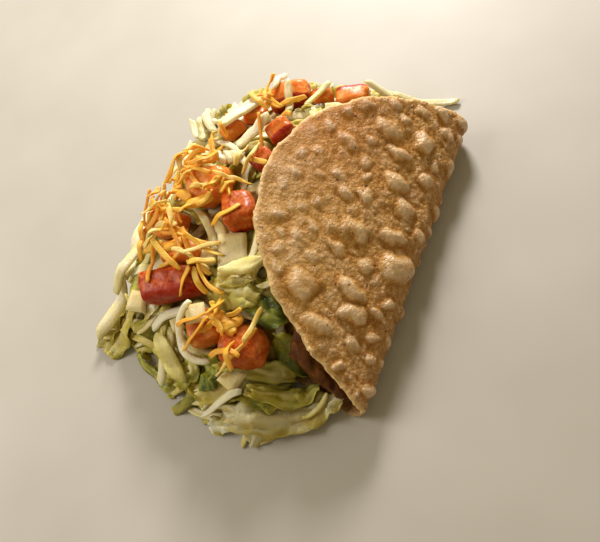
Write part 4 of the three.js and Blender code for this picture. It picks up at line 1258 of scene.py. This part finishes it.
# Melted lumps: start, heading, length and width.
MELTED = [
    (-58, 68, -100, 15, 5.5), (-64, 62, -60, 12, 4.5), (2, 106, -60, 16, 6), (-8, 112, -95, 15, 5),
    (-16, 98, -50, 13, 5), (-28, 108, -70, 14, 5), (-38, 102, -65, 12, 4.5), (8, 122, -150, 18, 5),
]
LUMP = {"steps": 16, "rows": 11, "sag": 0.05, "thick": 1.5, "laid": 1.2}


def melted_lump(heap, batch, x, y, heading, length, width, rng):
    line = ground_line(x, y, heading, length, rng.uniform(-50, 50), LUMP["steps"])
    path = lay_line(heap, line, width, 1, LUMP["sag"])
    grid = strip_grid(
        path, width, 0, cup=-0.25, ruffle=0.55, phase=rng.uniform(0, 6), taper=0.6, rows=LUMP["rows"]
    )
    grid = heap.clamp(grid, LUMP["laid"])
    across = spread(LUMP["rows"])[None, :]
    lumps = 1 + 0.3 * noise(grid, 2.4, 92)
    thick = LUMP["thick"] * np.sqrt(1 - 0.85 * across**4) * lumps
    batch.add(grid, thick, tone=0.35 + 0.25 * noise(grid, 4, 93))
    heap.settle(grid, LUMP["laid"])


# Strand of cheese that starts at a spot, unless it would leave the heap or lie under the shell.
def strand(heap, batch, spot, pale, rng):
    length = rng.uniform(*STRAND["length"])
    width = rng.uniform(*STRAND["width"])
    heading = rng.uniform(0, 360)
    line = ground_line(*spot, heading, length, rng.normal(0, STRAND["bend"]), STRAND["steps"])
    x, y = line[:, 0], line[:, 1]
    if mound_share(x, y).max() > STRAND["outermost"] or y.min() < MOUND["inner"] + 4:
        return
    if (heap.read(heap.roof, x, y) < OPEN).any():
        return
    path = lay_line(heap, line, width, STRAND["thick"], STRAND["sag"])
    along = spread(STRAND["steps"] + 1)
    path[:, 2] += along**2 * rng.uniform(-0.2, 1.2)
    roll = rng.normal(0, 25) + along * rng.normal(0, 40)
    grid = strip_grid(
        path, width, roll, cup=0.2, ruffle=0.25, phase=rng.uniform(0, 6), taper=0.25,
        slant=rng.uniform(*STRAND["slant"]),
    )
    grid = heap.clamp(grid, STRAND["thick"])
    thick = np.broadcast_to(STRAND["section"], grid.shape[:2]) * rng.uniform(*STRAND["scale"])
    tone = np.clip(rng.normal(pale, 0.35) + 0.1 * along[:, None] * rng.choice([-1, 1]), 0, 1)
    batch.add(grid, thick, tone=tone)
    heap.settle(grid, STRAND["laid"])


def build_cheese(heap, material):
    batch = Batch(["tone"])
    rng = np.random.default_rng(CHEESE_SEED)
    for lump in MELTED:
        melted_lump(heap, batch, *lump, rng)
    for x, y, along, across, count, pale in CHEESE_PATCHES:
        for _ in range(count):
            spot = rng.normal(0, 0.5, 2).clip(-1, 1) * [along, across] + [x, y]
            strand(heap, batch, spot, pale, rng)
    batch.build("cheese_look", material, ["lettuce"])


# ---- Camera, light and table ----

SKY = {"colour": (1.0, 0.86, 0.53, 1), "strength": 0.36}
# Name, heading and elevation in degrees, power in watts and size in metres.
LAMPS = [("window", 16, 32, 5.4, 0.15), ("side_window", 115, 45, 2.0, 0.3)]
LAMP_DISTANCE = 0.65
LAMP_COLOUR = (1.0, 0.96, 0.92)
FLOOR_SIZE = 4


def make_camera():
    data = bpy.data.cameras.new("camera")
    data.sensor_width = CAMERA_SENSOR
    data.lens = CAMERA_LENS
    data.clip_start = 0.01
    camera = bpy.data.objects.new("camera", data)
    bpy.context.scene.collection.objects.link(camera)
    eye = Vector(to_frame(CAMERA_AT))
    aim = Vector(to_frame(LOOK_AT))
    turn = (aim - eye).to_track_quat("-Z", "Y").to_matrix().to_4x4()
    camera.matrix_world = Matrix.Translation(eye) @ turn @ Matrix.Rotation(CAMERA_ROLL, 4, "Z")
    bpy.context.scene.camera = camera


def make_lamp(name, heading, elevation, power, size):
    data = bpy.data.lights.new(name, "AREA")
    data.energy = power
    data.size = size
    data.color = LAMP_COLOUR
    lamp = bpy.data.objects.new(name, data)
    bpy.context.scene.collection.objects.link(lamp)
    turn, rise = math.radians(heading), math.radians(elevation)
    flat = math.cos(rise)
    lamp.location = LAMP_DISTANCE * Vector((math.cos(turn) * flat, math.sin(turn) * flat, math.sin(rise)))
    lamp.rotation_euler = (-lamp.location).to_track_quat("-Z", "Y").to_euler()


def make_stage():
    world = bpy.data.worlds.new("world")
    bpy.context.scene.world = world
    world.use_nodes = True
    background = world.node_tree.nodes["Background"]
    background.inputs["Color"].default_value = SKY["colour"]
    background.inputs["Strength"].default_value = SKY["strength"]
    for lamp in LAMPS:
        make_lamp(*lamp)
    bpy.ops.mesh.primitive_plane_add(size=FLOOR_SIZE)
    floor = bpy.context.active_object
    floor.name = "floor"
    floor.data.materials.append(floor_material())
    bpy.context.scene.view_settings.view_transform = "Standard"


# ---- Assembly ----

make_camera()
make_stage()
build_shell(shell_material())
build_beans(beans_material())
heap = Heap()
under_dice, over_dice = build_tomatoes(heap, tomato_material())
build_lettuce(heap, under_dice, over_dice, lettuce_material())
build_cheese(heap, cheese_material())
